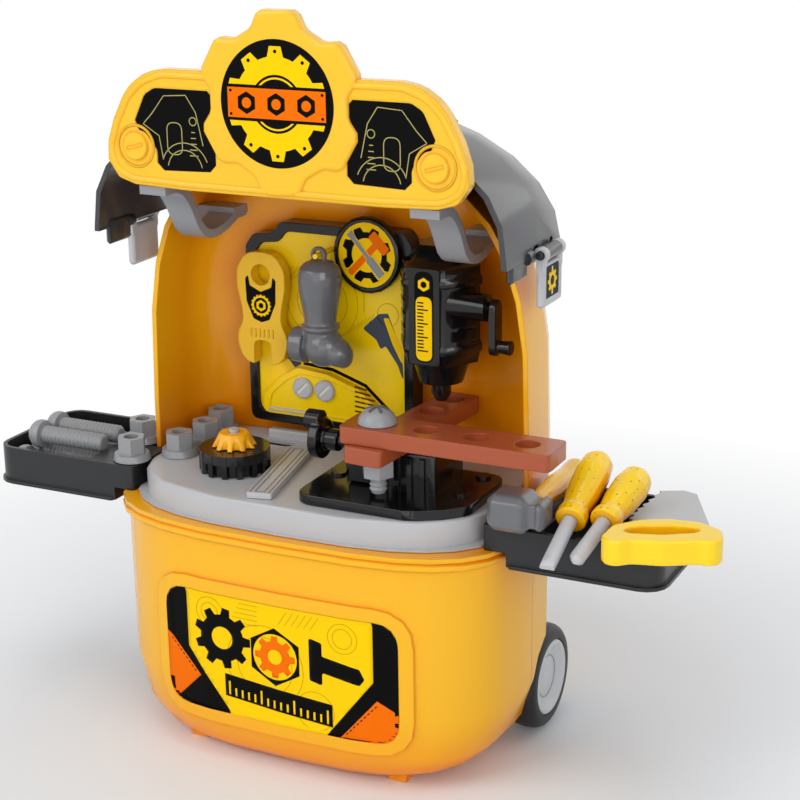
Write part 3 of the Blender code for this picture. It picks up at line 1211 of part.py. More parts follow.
def build_mallet():
    head = box("mallet_head", (MALLET_LEFT, MALLET_FRONT, MALLET_LOW), (MALLET_SPLIT, MALLET_REAR, MALLET_HIGH),
               TOOL_GREY, PARTS, PLANK_CORNER)
    neck = MALLET_NECK
    join(head, box("mallet_neck", (MALLET_SPLIT - neck, MALLET_FRONT + neck, MALLET_LOW + neck),
                   (MALLET_SPLIT + neck, MALLET_REAR - neck, MALLET_HIGH - neck)))
    small = MALLET_SMALLER
    join(head, box("mallet_tail", (MALLET_SPLIT + neck / 2, MALLET_FRONT + small, MALLET_LOW + small),
                   (MALLET_RIGHT, MALLET_REAR - small, MALLET_HIGH - small), bevel=small))
    place, length = axis_place(MALLET_HANDLE_START, MALLET_HANDLE_END)
    socket = place @ Matrix.Translation((0, 0, -MALLET_TENON - GAP))
    bore = [(0, MALLET_SOCKET), (MALLET_TENON_RADIUS + GAP, MALLET_SOCKET), (MALLET_TENON_RADIUS + GAP, 0), (0, 0)]
    cut(head, turned("mallet_socket", bore, socket, None, 16, CUTTERS))
    profile = profile_at(MALLET_HANDLE_SHARES, MALLET_HANDLE_RADIUS, 0, length)
    profile += [(MALLET_TENON_RADIUS, 0), (MALLET_TENON_RADIUS, -MALLET_TENON), (0, -MALLET_TENON)]
    turned("mallet_handle", profile, place, TOOL_YELLOW, 14)


DRIVERS = (("flat", (161.6 * MM, -70 * MM, 154 * MM), (160.6 * MM, 14 * MM, 188.8 * MM)),
           ("cross", (175.3 * MM, -68 * MM, 158 * MM), (184.5 * MM, 12 * MM, 182.6 * MM)))
DRIVER_SHAFT = 37 * MM
DRIVER_SHAFT_RADIUS = 4.2 * MM
DRIVER_HANDLE_RADIUS = 10 * MM
DRIVER_COLLAR_RADIUS = 8.8 * MM
DRIVER_HANDLE_SHARES = ((0, 1), (0.55, 0.97), (0.88, 0.88), (1, 0.7), (0.93, 0.4), (0.76, 0.17))
DRIVER_COLLAR_SHARE = 0.1
DRIVER_TANG = 12 * MM
DRIVER_TANG_RADIUS = 3 * MM
BLADE_HALF = 1.2 * MM
BLADE_LENGTH = 12 * MM


def build_drivers():
    """Two screwdrivers leaning on the tray's front edge; their shafts plug into the handles."""
    for word, tip, end in DRIVERS:
        place, length = axis_place(tip, end)
        tang, clear = DRIVER_TANG, DRIVER_TANG_RADIUS + GAP
        start = DRIVER_SHAFT + GAP
        body = length - start
        profile = profile_at(DRIVER_HANDLE_SHARES, DRIVER_HANDLE_RADIUS, start, body)
        profile += [(DRIVER_COLLAR_RADIUS, start + body * DRIVER_COLLAR_SHARE), (DRIVER_COLLAR_RADIUS, start),
                    (clear, start), (clear, start + tang), (0, start + tang)]
        turned(word + "_driver_handle", profile, place, TOOL_YELLOW, 14)
        shaft = DRIVER_SHAFT_RADIUS
        profile = [(0, start + tang - 2 * GAP), (DRIVER_TANG_RADIUS, start + tang - 2 * GAP),
                   (DRIVER_TANG_RADIUS, start - GAP), (shaft, start - GAP),
                   (shaft, BLADE_LENGTH if word == "flat" else shaft), (shaft if word == "flat" else 0, 0)]
        if word == "flat":
            profile.append((0, 0))
        item = turned(word + "_driver_shaft", profile, place, MID_GREY, 10)
        if word == "flat":
            for sign in (1, -1):
                cut(item, driver_flat(sign, place))


def driver_flat(sign, place):
    """Wedge that leaves a flat blade at the tip."""
    reach, half = DRIVER_SHAFT_RADIUS + OVERRUN, BLADE_HALF
    rings = []
    for height, inner in ((-OVERRUN, half), (0, half), (BLADE_LENGTH, DRIVER_SHAFT_RADIUS)):
        corners = ((-reach, inner), (reach, inner), (reach, reach * 2), (-reach, reach * 2))
        rings.append([place @ Vector((across, sign * along, height)) for across, along in corners])
    return loft("driver_wedge", rings)


SAW_CENTRE = (214.5 * MM, -45 * MM)
SAW_TURN = 25
SAW_LOW = TRAY_TOP + GAP
SAW_FLOOR = 1.5 * MM
BLADE_THICKNESS = 2.2 * MM
BLADE_BACK = 30 * MM
BLADE_START = 14 * MM
BLADE_REAR = 85 * MM
BLADE_TIP = 10 * MM
BLADE_CORNER = 6 * MM
BLADE_EDGE = ((-10 * MM, 49.6 * MM), (-17 * MM, 18.5 * MM))
BLADE_TOOTH_COUNT = 5
TOOTH_DEPTH = 2.5 * MM
TANG_LEFT = -8 * MM
TANG_RIGHT = 22 * MM
TANG_DEPTH = 5 * MM
SAW_GRIP_HALF = 31.8 * MM
SAW_GRIP_DEPTH = 17.2 * MM
SAW_GRIP_THICKNESS = 14 * MM
SAW_GRIP_SHARES = ((0, 0.3), (0.03, 0.1), (0.12, 0.04), (0.25, 0.12), (0.5, 0.03), (0.78, 0.08), (0.88, 0),
                   (0.98, 0.13), (1, 0.5), (0.85, 0.85), (0.6, 1), (0.35, 0.97), (0.12, 0.75))
SAW_HOLE_SHARES = ((0.19, 0.44), (0.5, 0.34), (0.8, 0.42), (0.84, 0.6), (0.62, 0.72), (0.4, 0.72), (0.2, 0.62))


def saw_outline(points):
    """Turn outline points from the saw's own frame into the plan of the trolley."""
    angle = math.radians(SAW_TURN)
    across, along = math.cos(angle), math.sin(angle)
    return [(SAW_CENTRE[0] + right * across - rear * along, SAW_CENTRE[1] + right * along + rear * across)
            for right, rear in points]


def saw_grip(shares, grow=0.0):
    half, depth = SAW_GRIP_HALF + grow, SAW_GRIP_DEPTH + grow
    points = shares_to_outline(shares, -half, half, -depth, depth)
    return saw_outline(rounded_outline(points, PLANK_CORNER, 1))


def blade_outline():
    """Blade with a row of teeth on each straight part of its left edge, and a tang in the grip."""
    corner = (BLADE_BACK - BLADE_CORNER, BLADE_REAR), (BLADE_BACK, BLADE_REAR - BLADE_CORNER)
    points = [(BLADE_BACK, BLADE_START), *reversed(corner), (BLADE_TIP, BLADE_REAR)]
    edge = ((BLADE_TIP, BLADE_REAR), *BLADE_EDGE)
    for start, end in zip(edge, edge[1:]):
        start, end = Vector(start), Vector(end)
        for tooth in range(BLADE_TOOTH_COUNT):
            valley = start.lerp(end, (tooth + 0.5) / BLADE_TOOTH_COUNT)
            points.append((valley.x + TOOTH_DEPTH, valley.y))
            points.append(tuple(start.lerp(end, (tooth + 1) / BLADE_TOOTH_COUNT)))
    return points + [(BLADE_EDGE[-1][0], BLADE_START)]


def build_saw():
    level = SAW_LOW + SAW_FLOOR + GAP + BLADE_THICKNESS / 2
    blade = outline_solid("saw_blade", [saw_outline(blade_outline())], BLADE_THICKNESS, facing_up(level), LIGHT_GREY,
                          PARTS)
    grip = saw_grip(SAW_GRIP_SHARES)
    middle = SAW_LOW + SAW_GRIP_THICKNESS / 2
    clearance = saw_grip(SAW_GRIP_SHARES, GAP)
    cut(blade, outline_solid("grip_clearance", [clearance], 2 * SAW_GRIP_THICKNESS, facing_up(middle)))
    tang = saw_outline(rectangle((TANG_LEFT, SAW_GRIP_DEPTH - TANG_DEPTH), (TANG_RIGHT, SAW_GRIP_DEPTH + TANG_DEPTH)))
    join(blade, outline_solid("saw_tang", [tang], BLADE_THICKNESS, facing_up(level)))
    handle = outline_solid("saw_handle", [grip, saw_grip(SAW_HOLE_SHARES)], SAW_GRIP_THICKNESS, facing_up(middle),
                           TOOL_YELLOW, PARTS, WALL)
    slot = saw_outline(rectangle((TANG_LEFT - GAP, SAW_GRIP_DEPTH - TANG_DEPTH - GAP),
                                 (TANG_RIGHT + GAP, SAW_GRIP_DEPTH + 2 * TANG_DEPTH)))
    cut(handle, outline_solid("tang_slot", [slot], BLADE_THICKNESS + 2 * GAP, facing_up(level)))


# Cover, its window and its clasps
COVER_ARC_STEPS = 14
COVER_SHOULDER = 305 * MM
COVER_POWER = 2.5
COVER_BACK_POWER = 1.6
COVER_REAR_POWER = 6
COVER_DEPTH_SHARES = (0.0, 0.6, 0.78, 0.89, 0.95, 0.985)
COVER_SEAT = 0.5 * MM
WINDOW_CENTRE_Y = 2 * MM
WINDOW_TIP = 34 * MM
WINDOW_ROOT = 28 * MM
WINDOW_TEETH = 8
WINDOW_DEPTH = 5 * MM
WINDOW_LOW = COVER_TOP - WINDOW_DEPTH
BOSS_RADIUS = 8 * MM
BOSS_SPOTS = ((58 * MM, -30 * MM), (-58 * MM, -30 * MM), (58 * MM, 30 * MM), (-58 * MM, 30 * MM))
BOSS_RISE = 1.6 * MM
RIB_FRONT = 5 * MM
RIB_REAR = 8.5 * MM
RIB_HALF = 70 * MM
LUG_FRONT = -36 * MM
LUG_REAR = -14 * MM
LUG_LOW = 293.5 * MM
LUG_THICKNESS = 4.5 * MM
CLASP_AXIS_X = 130.5 * MM
CLASP_AXIS_Z = 303.5 * MM
CLASP_PIN = 2.2 * MM
CLASP_BARREL = 4.2 * MM
CLASP_FRONT = -6 * MM
CLASP_REAR = 22 * MM
CLASP_LOW = 274 * MM
CLASP_THICKNESS = 5 * MM
CLASP_PIN_END = 1.5 * MM
CLASP_LUG = 5 * MM
CLASP_LUG_RADIUS = 4.6 * MM
CLASP_BORDER = 4.2 * MM
CLASP_RECESS = 1.5 * MM
LATCH_EAR_X = 126 * MM
LATCH_EAR_REACH = 10 * MM
LATCH_EAR_LENGTH = 6 * MM
LATCH_EAR_RADIUS = 4 * MM


def cover_ring(depth, share, grow, low):
    """Front view of the cover at a depth share; its arch gets flatter towards the rear."""
    inset = depth_inset(share, COVER_REAR_POWER)
    power = COVER_POWER + (COVER_BACK_POWER - COVER_POWER) * share
    half, rise = (COVER_HALF + grow) * inset, (COVER_TOP - COVER_SHOULDER + grow) * inset
    ring = [Vector((half, depth, low))]
    for step in range(COVER_ARC_STEPS + 1):
        angle = math.pi * step / COVER_ARC_STEPS
        across, up = math.cos(angle), math.sin(angle)
        ring.append(Vector((math.copysign(abs(across) ** (2 / power), across) * half, depth,
                            COVER_SHOULDER + abs(up) ** (2 / power) * rise)))
    ring.append(Vector((-half, depth, low)))
    return ring


def cover_skin(name, grow, front, low, material=None, group=CUTTERS):
    rings = [cover_ring(front, 0, grow, low)]
    for share in COVER_DEPTH_SHARES:
        rings.append(cover_ring((COVER_REAR + grow) * share, share, grow, low))
    return loft(name, rings, material, group)


def build_cover():
    """Cover set on the shell: open in front, its rear wall and a rib sit on the shell's arch."""
    cover = cover_skin("cover", 0, -COVER_FRONT, COVER_LOW, BLACK, PARTS)
    inside = cover_skin("cover_inside", -WALL, -COVER_FRONT - OVERRUN, COVER_LOW - OVERRUN)
    cut(inside, box("seat_rib", (-RIB_HALF, RIB_FRONT, SHELL_TOP - WALL), (RIB_HALF, RIB_REAR, COVER_TOP)))
    for across, along in BOSS_SPOTS:
        boss = cylinder("cover_boss", (across, along, COVER_SHOULDER), (across, along, COVER_TOP + OVERRUN),
                        BOSS_RADIUS, sides=10)
        keep(boss, cover_skin("boss_limit", BOSS_RISE, -COVER_FRONT, COVER_LOW))
        join(cover, boss)
    cut(cover, inside, arch_skin("shell_clearance", COVER_SEAT, -COVER_FRONT, SHELL_LOW))
    for side in (1, -1):
        build_cover_side(cover, side)
    window = gear_outline(WINDOW_TEETH, WINDOW_ROOT, WINDOW_TIP, (0, WINDOW_CENTRE_Y))
    opening = gear_outline(WINDOW_TEETH, WINDOW_ROOT + GAP, WINDOW_TIP + GAP, (0, WINDOW_CENTRE_Y))
    depth = COVER_TOP - WINDOW_LOW
    cut(cover, outline_solid("window_opening", [opening], 2 * depth, facing_up(WINDOW_LOW + depth)))
    ledge = round_outline(WINDOW_TIP + OVERRUN, 18, (0, WINDOW_CENTRE_Y))
    hole = round_outline(WINDOW_ROOT - WALL, 18, (0, WINDOW_CENTRE_Y))
    join(cover, outline_solid("window_ledge", [ledge, hole], FLANGE_THICKNESS,
                              facing_up(WINDOW_LOW - GAP - FLANGE_THICKNESS / 2)))
    outline_solid("cover_window", [window], COVER_TOP - WINDOW_LOW - FLANGE_THICKNESS,
                  facing_up((COVER_TOP - FLANGE_THICKNESS + WINDOW_LOW) / 2), AMBER, PARTS)


def mirrored_box(name, side, low, high, material=None, group=CUTTERS, bevel=0.0):
    (low_x, *low_rest), (high_x, *high_rest) = low, high
    first, last = sorted((side * low_x, side * high_x))
    return box(name, (first, *low_rest), (last, *high_rest), material, group, bevel)


def build_cover_side(cover, side):
    """Front lug, the barrel that carries the clasp's pin, and notches for the clasp's own lugs."""
    inner = COVER_HALF - LUG_THICKNESS
    join(cover, mirrored_box("cover_lug", side, (inner, LUG_FRONT, LUG_LOW),
                             (COVER_HALF - DECK_EDGE / 3, LUG_REAR, COVER_LOW + OVERRUN), bevel=DECK_EDGE))
    reach = CLASP_LUG_RADIUS + GAP
    for front in (CLASP_FRONT, CLASP_REAR - CLASP_LUG):
        cut(cover, mirrored_box("lug_notch", side, (CLASP_AXIS_X - reach, front - 2 * GAP, COVER_LOW - OVERRUN),
                                (CLASP_AXIS_X + reach, front + CLASP_LUG + 2 * GAP, CLASP_AXIS_Z + reach)))
    axis_x = side * CLASP_AXIS_X
    join(cover, cylinder("clasp_barrel", (axis_x, CLASP_FRONT + CLASP_LUG + GAP, CLASP_AXIS_Z),
                         (axis_x, CLASP_REAR - CLASP_LUG - GAP, CLASP_AXIS_Z), CLASP_BARREL, sides=10))
    join(cover, cylinder("clasp_pin", (axis_x, CLASP_FRONT - CLASP_PIN_END, CLASP_AXIS_Z),
                         (axis_x, CLASP_REAR + CLASP_PIN_END, CLASP_AXIS_Z), CLASP_PIN, sides=8))
    ear = CLASP_FRONT - LATCH_EAR_REACH
    join(cover, cylinder("latch_ear", (side * LATCH_EAR_X, ear, CLASP_AXIS_Z),
                         (side * LATCH_EAR_X, ear + LATCH_EAR_LENGTH, CLASP_AXIS_Z), LATCH_EAR_RADIUS, sides=8))


def build_clasp(side, word):
    """Clasp plate hanging beside the cover's edge, with a lug round the pin at each end."""
    half = CLASP_THICKNESS / 2
    top = CLASP_AXIS_Z - CLASP_BARREL - 2 * GAP
    clasp = mirrored_box(word + "_clasp", side, (CLASP_AXIS_X - half, CLASP_FRONT, CLASP_LOW),
                         (CLASP_AXIS_X + half, CLASP_REAR, top), LIGHT_GREY, PARTS, DECK_EDGE)
    for front in (CLASP_FRONT, CLASP_REAR - CLASP_LUG):
        join(clasp, mirrored_box("lug_web", side, (CLASP_AXIS_X - half, front, top - CLASP_LUG),
                                 (CLASP_AXIS_X + half, front + CLASP_LUG, CLASP_AXIS_Z)))
        join(clasp, cylinder("clasp_lug", (side * CLASP_AXIS_X, front, CLASP_AXIS_Z),
                             (side * CLASP_AXIS_X, front + CLASP_LUG, CLASP_AXIS_Z), CLASP_LUG_RADIUS, sides=10))
    cut(clasp, mirrored_box("clasp_recess", side,
                            (CLASP_AXIS_X + half - CLASP_RECESS, CLASP_FRONT + CLASP_BORDER, CLASP_LOW + CLASP_BORDER),
                            (CLASP_AXIS_X + 2 * half, CLASP_REAR - CLASP_BORDER, top - CLASP_BORDER / 2)))
    cut(clasp, cylinder("clasp_bore", (side * CLASP_AXIS_X, CLASP_FRONT - OVERRUN, CLASP_AXIS_Z),
                        (side * CLASP_AXIS_X, CLASP_REAR + OVERRUN, CLASP_AXIS_Z), CLASP_PIN + GAP, sides=8))


# Sign with its gear, and the arms that carry it
GEAR_FRONT = -54.5 * MM
SIGN_BACK = -45.5 * MM
WING_FRONT = -52.5 * MM
WING_HALF = 110.8 * MM
WING_LOW = 333 * MM
WING_HIGH = 398.6 * MM
WING_HALF_SHARES = ((0.55, 0), (0.88, 0.02), (0.98, 0.12), (1, 0.3), (0.95, 0.55), (0.88, 0.78),
                    (0.8, 0.92), (0.68, 1))
WING_ROUNDING = 20 * MM
INSERT_HALF_SHARES = ((0.36, 0.17), (0.7, 0.15), (0.7, 0.32), (0.76, 0.46), (0.84, 0.5), (0.76, 0.78), (0.7, 0.84),
                      (0.36, 0.84))
INSERT_DEPTH = 1.2 * MM
SIGN_BOSS_X = 91 * MM
SIGN_BOSS_Z = 355.6 * MM
SIGN_BOSS_RADIUS = 8.5 * MM
SIGN_BOSS_RISE = 1.6 * MM
GEAR_CENTRE_Z = 383.6 * MM
GEAR_TIP = 50 * MM
GEAR_ROOT = 42 * MM
GEAR_TEETH = 6
GEAR_TURN_SHARE = 0.5
DISC_RADIUS = 33 * MM
DISC_DEPTH = 1.5 * MM
GEAR_ROOT_SHARE = 0.72
GEAR_TIP_SHARE = 0.42
WING_EDGE = 2.4 * MM
ARM_INNER_X = 75 * MM
ARM_OUTER_X = 92 * MM
ARM_THICKNESS = 5.2 * MM
ARM_PATH = ((-50 * MM, 330.6 * MM), (-38 * MM, 330.6 * MM), (-29 * MM, 326 * MM), (-21 * MM, 316 * MM),
            (-14 * MM, 304 * MM), (-5 * MM, 298 * MM), (6 * MM, 297.5 * MM), (17 * MM, 300 * MM),
            (28 * MM, 304 * MM), (38 * MM, 305 * MM))
ARM_FOOT_X = 103.4 * MM
ARM_FOOT_FRONT = 22 * MM
ARM_FOOT_LOW = 301 * MM
ARM_FOOT_HIGH = 308 * MM


def build_sign():
    points = shares_to_outline(mirrored_shares(WING_HALF_SHARES), 0, WING_HALF, WING_LOW, WING_HIGH)
    middle = (WING_FRONT + SIGN_BACK) / 2
    sign = outline_solid("sign_board", [rounded_outline(points, WING_ROUNDING, 1)], SIGN_BACK - WING_FRONT,
                         facing_front(middle), YELLOW, PARTS, WING_EDGE)
    for side in (1, -1):
        insert = [(side * WING_HALF * across, WING_LOW + (WING_HIGH - WING_LOW) * up)
                  for across, up in INSERT_HALF_SHARES]
        insert = insert if side > 0 else list(reversed(insert))
        cut(sign, outline_solid("insert_recess", [rounded_outline(insert, PLANK_CORNER, 1)], 2 * INSERT_DEPTH,
                                facing_front(WING_FRONT)))
        start = (side * SIGN_BOSS_X, WING_FRONT + SIGN_BOSS_RISE, SIGN_BOSS_Z)
        end = (side * SIGN_BOSS_X, WING_FRONT - SIGN_BOSS_RISE, SIGN_BOSS_Z)
        join(sign, cylinder("sign_boss", start, end, SIGN_BOSS_RADIUS, sides=14,
                            end_radius=SIGN_BOSS_RADIUS - SIGN_BOSS_RISE / 2))
    gear = gear_outline(GEAR_TEETH, GEAR_ROOT, GEAR_TIP, (0, 0), GEAR_TURN_SHARE, GEAR_ROOT_SHARE, GEAR_TIP_SHARE)
    depth = SIGN_BACK - GEAR_FRONT
    place = facing_front(SIGN_BACK - depth / 2, 0, GEAR_CENTRE_Z)
    join(sign, outline_solid("sign_gear", [rounded_outline(gear, PLANK_CORNER, 1)], depth, place, bevel=DECK_EDGE))
    cut(sign, cylinder("disc_recess", (0, GEAR_FRONT - OVERRUN, GEAR_CENTRE_Z),
                       (0, GEAR_FRONT + DISC_DEPTH, GEAR_CENTRE_Z), DISC_RADIUS + GAP, sides=24))
    cylinder("sign_disc", (0, GEAR_FRONT, GEAR_CENTRE_Z), (0, GEAR_FRONT + DISC_DEPTH - GAP, GEAR_CENTRE_Z),
             DISC_RADIUS, BLACK, PARTS, 24)


def band_outline(path, thickness):
    """Band of even thickness along a path."""
    upper, lower = [], []
    for index, point in enumerate(path):
        before, after = path[max(index - 1, 0)], path[min(index + 1, len(path) - 1)]
        direction = (Vector(after) - Vector(before)).normalized()
        normal = Vector((-direction.y, direction.x)) * thickness / 2
        upper.append(tuple(Vector(point) + normal))
        lower.append(tuple(Vector(point) - normal))
    return lower + list(reversed(upper))


def build_arm(side, word):
    """Curved arm from under the sign down and back to the side of the shell."""
    middle = side * (ARM_INNER_X + ARM_OUTER_X) / 2
    arm = outline_solid(word + "_sign_arm", [band_outline(smooth_path(ARM_PATH), ARM_THICKNESS)],
                        ARM_OUTER_X - ARM_INNER_X, facing_side(middle), LIGHT_GREY, PARTS)
    foot = mirrored_box("arm_foot", side, (ARM_INNER_X, ARM_FOOT_FRONT, ARM_FOOT_LOW),
                        (ARM_FOOT_X, ARM_PATH[-1][0] - DECK_EDGE, ARM_FOOT_HIGH))
    keep(foot, arch_skin("arm_limit", -WALL - GAP, -OVERRUN, SHELL_LOW))
    join(arm, foot)


def smooth_path(path, steps=2):
    """Points of a smooth curve through the path."""
    result = []
    for index in range(len(path) - 1):
        around = [Vector(path[min(max(index + shift, 0), len(path) - 1)]) for shift in (-1, 0, 1, 2)]
        for step in range(steps):
            share = step / steps
            point = 0.5 * (2 * around[1] + (around[2] - around[0]) * share
                           + (2 * around[0] - 5 * around[1] + 4 * around[2] - around[3]) * share ** 2
                           + (3 * around[1] - around[0] - 3 * around[2] + around[3]) * share ** 3)
            result.append(tuple(point))
    return result + [path[-1]]


def centre_frame():
    """Move the design frame so that the origin is below the middle of the whole object."""
    right = max(across for across, _ in saw_grip(SAW_GRIP_SHARES))
    left, front = TRAY_REACH + TRAY_FOOT_LIP, FRONT_DEPTH + RIM_OUT
    FRAME.location = Vector(((left - right) / 2, (front - SLEEVE_REAR) / 2, 0))


def main():
    centre_frame()
    build_front_shell()
    build_rear_shell()
    build_lower_sleeve()
    build_wheels()
    build_upper_shell()
    build_carry_handle()
    build_pull_handle()
    build_worktop()
    build_ruler()
    build_gears()
    build_nuts()
    build_bolts()
    build_board()
    build_badge()
    build_wrench()
    build_claw_hammer()
    build_drill()
    build_vise()
    build_planks()
    build_mallet()
    build_drivers()
    build_saw()
    build_cover()
    build_sign()
    for side, word in ((1, "right"), (-1, "left")):
        build_tray(side, word)
        build_clasp(side, word)
        build_arm(side, word)


main()
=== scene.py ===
"""Looks of the toy tool trolley: finishes, printed panels, finer pieces, light and camera.

Lengths are millimetres times MM. Places are given in the design frame, whose origin is on
the floor below the seam of the case; PLACE moves them into the frame of the nodes.
"""

import math

import bmesh
import bpy
from mathutils import Matrix, Vector
from mathutils.bvhtree import BVHTree


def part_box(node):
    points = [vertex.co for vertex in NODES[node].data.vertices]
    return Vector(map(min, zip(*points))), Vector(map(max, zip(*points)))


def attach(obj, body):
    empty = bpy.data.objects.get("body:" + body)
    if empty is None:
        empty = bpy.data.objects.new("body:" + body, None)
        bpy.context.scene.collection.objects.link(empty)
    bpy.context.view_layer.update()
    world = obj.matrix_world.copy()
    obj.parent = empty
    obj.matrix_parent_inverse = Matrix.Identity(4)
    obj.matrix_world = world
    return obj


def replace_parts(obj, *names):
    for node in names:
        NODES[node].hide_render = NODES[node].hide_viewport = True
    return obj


MM = 0.001
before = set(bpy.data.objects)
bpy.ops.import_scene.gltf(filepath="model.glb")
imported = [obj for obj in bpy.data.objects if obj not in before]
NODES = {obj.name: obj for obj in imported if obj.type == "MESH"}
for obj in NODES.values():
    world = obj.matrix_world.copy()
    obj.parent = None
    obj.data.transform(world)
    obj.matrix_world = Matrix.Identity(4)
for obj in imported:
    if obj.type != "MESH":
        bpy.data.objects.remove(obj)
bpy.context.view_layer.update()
SHELL_LOW, SHELL_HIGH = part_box("upper_rear_shell")
ORIGIN = Vector(((SHELL_LOW[0] + SHELL_HIGH[0]) / 2, SHELL_LOW[1], 0))
PLACE = Matrix.Translation(ORIGIN)

# Camera, found by fitting the case's edges in the photograph
CAMERA_TARGET = (16.97 * MM, 54.83 * MM, 191.11 * MM)
CAMERA_DISTANCE = 1114.04 * MM
CAMERA_AZIMUTH = 25.99
CAMERA_PITCH = 17.51
CAMERA_ROLL = -0.66
CAMERA_FOCAL_SHARE = 1842.89 / 800
SENSOR = 36


def new_object(name, data):
    """Object with the given data, linked into the scene."""
    item = bpy.data.objects.new(name, data)
    bpy.context.scene.collection.objects.link(item)
    return item


def add_camera():
    turn, pitch, roll = (math.radians(angle)
                         for angle in (CAMERA_AZIMUTH, CAMERA_PITCH, CAMERA_ROLL))
    back = Vector((math.sin(turn) * math.cos(pitch), -math.cos(turn) * math.cos(pitch),
                   math.sin(pitch)))
    level = Vector((math.cos(turn), math.sin(turn), 0))
    upright = back.cross(level)
    right = level * math.cos(roll) + upright * math.sin(roll)
    up = upright * math.cos(roll) - level * math.sin(roll)
    data = bpy.data.cameras.new("camera")
    data.sensor_width = SENSOR
    data.lens = SENSOR * CAMERA_FOCAL_SHARE
    camera = new_object("camera", data)
    axes = Matrix((right, up, back)).transposed().to_4x4()
    spot = ORIGIN + Vector(CAMERA_TARGET) + back * CAMERA_DISTANCE
    camera.matrix_world = Matrix.Translation(spot) @ axes
    bpy.context.scene.camera = camera


# Finishes; colours are given in sRGB from 0 to 255
def linear(colour):
    shares = [value / 255 for value in colour]
    return [share / 12.92 if share <= 0.04045 else ((share + 0.055) / 1.055) ** 2.4
            for share in shares]


def colour_mix(nodes, links, first, second, factor):
    """Mix two colours or colour sockets by a value socket; returns the result's socket."""
    mix = nodes.new("ShaderNodeMix")
    mix.data_type = "RGBA"
    for place, value in ((6, first), (7, second)):
        if isinstance(value, bpy.types.NodeSocket):
            links.new(value, mix.inputs[place])
        else:
            mix.inputs[place].default_value = (*value, 1)
    links.new(factor, mix.inputs[0])
    return mix.outputs[2]


def set_inputs(node, values):
    for name, value in values.items():
        node.inputs[name].default_value = value


def ranged(nodes, links, source, low, high, start=0.0, end=1.0):
    """Map a value socket from low..high to start..end."""
    scale = nodes.new("ShaderNodeMapRange")
    set_inputs(scale, {"From Min": low, "From Max": high, "To Min": start, "To Max": end})
    links.new(source, scale.inputs["Value"])
    return scale.outputs["Result"]


EDGE_SOFTNESS, EDGE_SAMPLES = 0.6 * MM, 4
SHADE_REACH, SHADE_SAMPLES, SHADE_RANGE = 70 * MM, 8, (0.25, 0.9)
DRIFT_SCALE, DRIFT_DETAIL, DRIFT_RANGE, DRIFT_GAIN = 14, 3, (0.35, 0.75), 4
SPECK_SCALE, SPECK_RANDOMNESS, SPECK_RANGE = 260, 0.25, (0.12, 0.2)
GRAIN_SCALE, GRAIN_DETAIL, GRAIN_HEIGHT = 900, 2, 0.4 * MM
DULLEST, GLOSSIEST = 1.25, 0.85
COAT_ROUGHNESS, PLASTIC_IOR = 0.08, 1.5


def noise(nodes, links, place, scale, detail):
    texture = nodes.new("ShaderNodeTexNoise")
    set_inputs(texture, {"Scale": scale, "Detail": detail})
    links.new(place.outputs["Object"], texture.inputs["Vector"])
    return texture.outputs["Fac"]


def plastic(name, colour, roughness, grain=0.02, mottling=0.05, coat=0.0, darker=0.82,
            deep=None, dots=None, edge=EDGE_SOFTNESS, shine=0.3):
    """Moulded plastic: slight colour drift, uneven gloss, softened edges and a very fine grain.

    A deep colour is painted shade: it is mixed in where ambient occlusion finds the surface in a
    hollow; dots is the colour of small printed specks."""
    material = bpy.data.materials.new(name)
    material.use_nodes = True
    nodes, links = material.node_tree.nodes, material.node_tree.links
    shader = nodes["Principled BSDF"]
    place = nodes.new("ShaderNodeTexCoord")
    drift = noise(nodes, links, place, DRIFT_SCALE, DRIFT_DETAIL)
    base = linear(colour)
    amount = ranged(nodes, links, drift, *DRIFT_RANGE, 0, mottling * DRIFT_GAIN)
    tint = colour_mix(nodes, links, base, [value * darker for value in base], amount)
    # Painted shade: the deep colour darkens and tints hollows, crevices and the insides of shells,
    # wherever ambient occlusion finds them
    if deep is not None:
        hollow = nodes.new("ShaderNodeAmbientOcclusion")
        hollow.inputs["Distance"].default_value = SHADE_REACH
        hollow.samples = SHADE_SAMPLES
        depth = ranged(nodes, links, hollow.outputs["AO"], *SHADE_RANGE, 1, 0)
        tint = colour_mix(nodes, links, tint, linear(deep), depth)
    if dots is not None:
        cells = nodes.new("ShaderNodeTexVoronoi")
        set_inputs(cells, {"Scale": SPECK_SCALE, "Randomness": SPECK_RANDOMNESS})
        links.new(place.outputs["Object"], cells.inputs["Vector"])
        speck = ranged(nodes, links, cells.outputs["Distance"], *SPECK_RANGE, 1, 0)
        tint = colour_mix(nodes, links, tint, linear(dots), speck)
    links.new(tint, shader.inputs["Base Color"])
    gloss = ranged(nodes, links, drift, 0, 1, roughness * GLOSSIEST, roughness * DULLEST)
    links.new(gloss, shader.inputs["Roughness"])
    bump = nodes.new("ShaderNodeBump")
    set_inputs(bump, {"Strength": grain, "Distance": GRAIN_HEIGHT})
    links.new(noise(nodes, links, place, GRAIN_SCALE, GRAIN_DETAIL), bump.inputs["Height"])
    if edge > 0:
        soft = nodes.new("ShaderNodeBevel")
        soft.samples = EDGE_SAMPLES
        soft.inputs["Radius"].default_value = edge
        links.new(soft.outputs["Normal"], bump.inputs["Normal"])
    links.new(bump.outputs["Normal"], shader.inputs["Normal"])
    set_inputs(shader, {"Coat Weight": coat, "Coat Roughness": COAT_ROUGHNESS,
                        "IOR": PLASTIC_IOR, "Specular IOR Level": shine})
    return material


def ink(name, colour):
    """Flat, hardly shiny print."""
    return plastic(name, colour, 0.3, grain=0.01, mottling=0.02, darker=0.92, edge=0, shine=0.06)
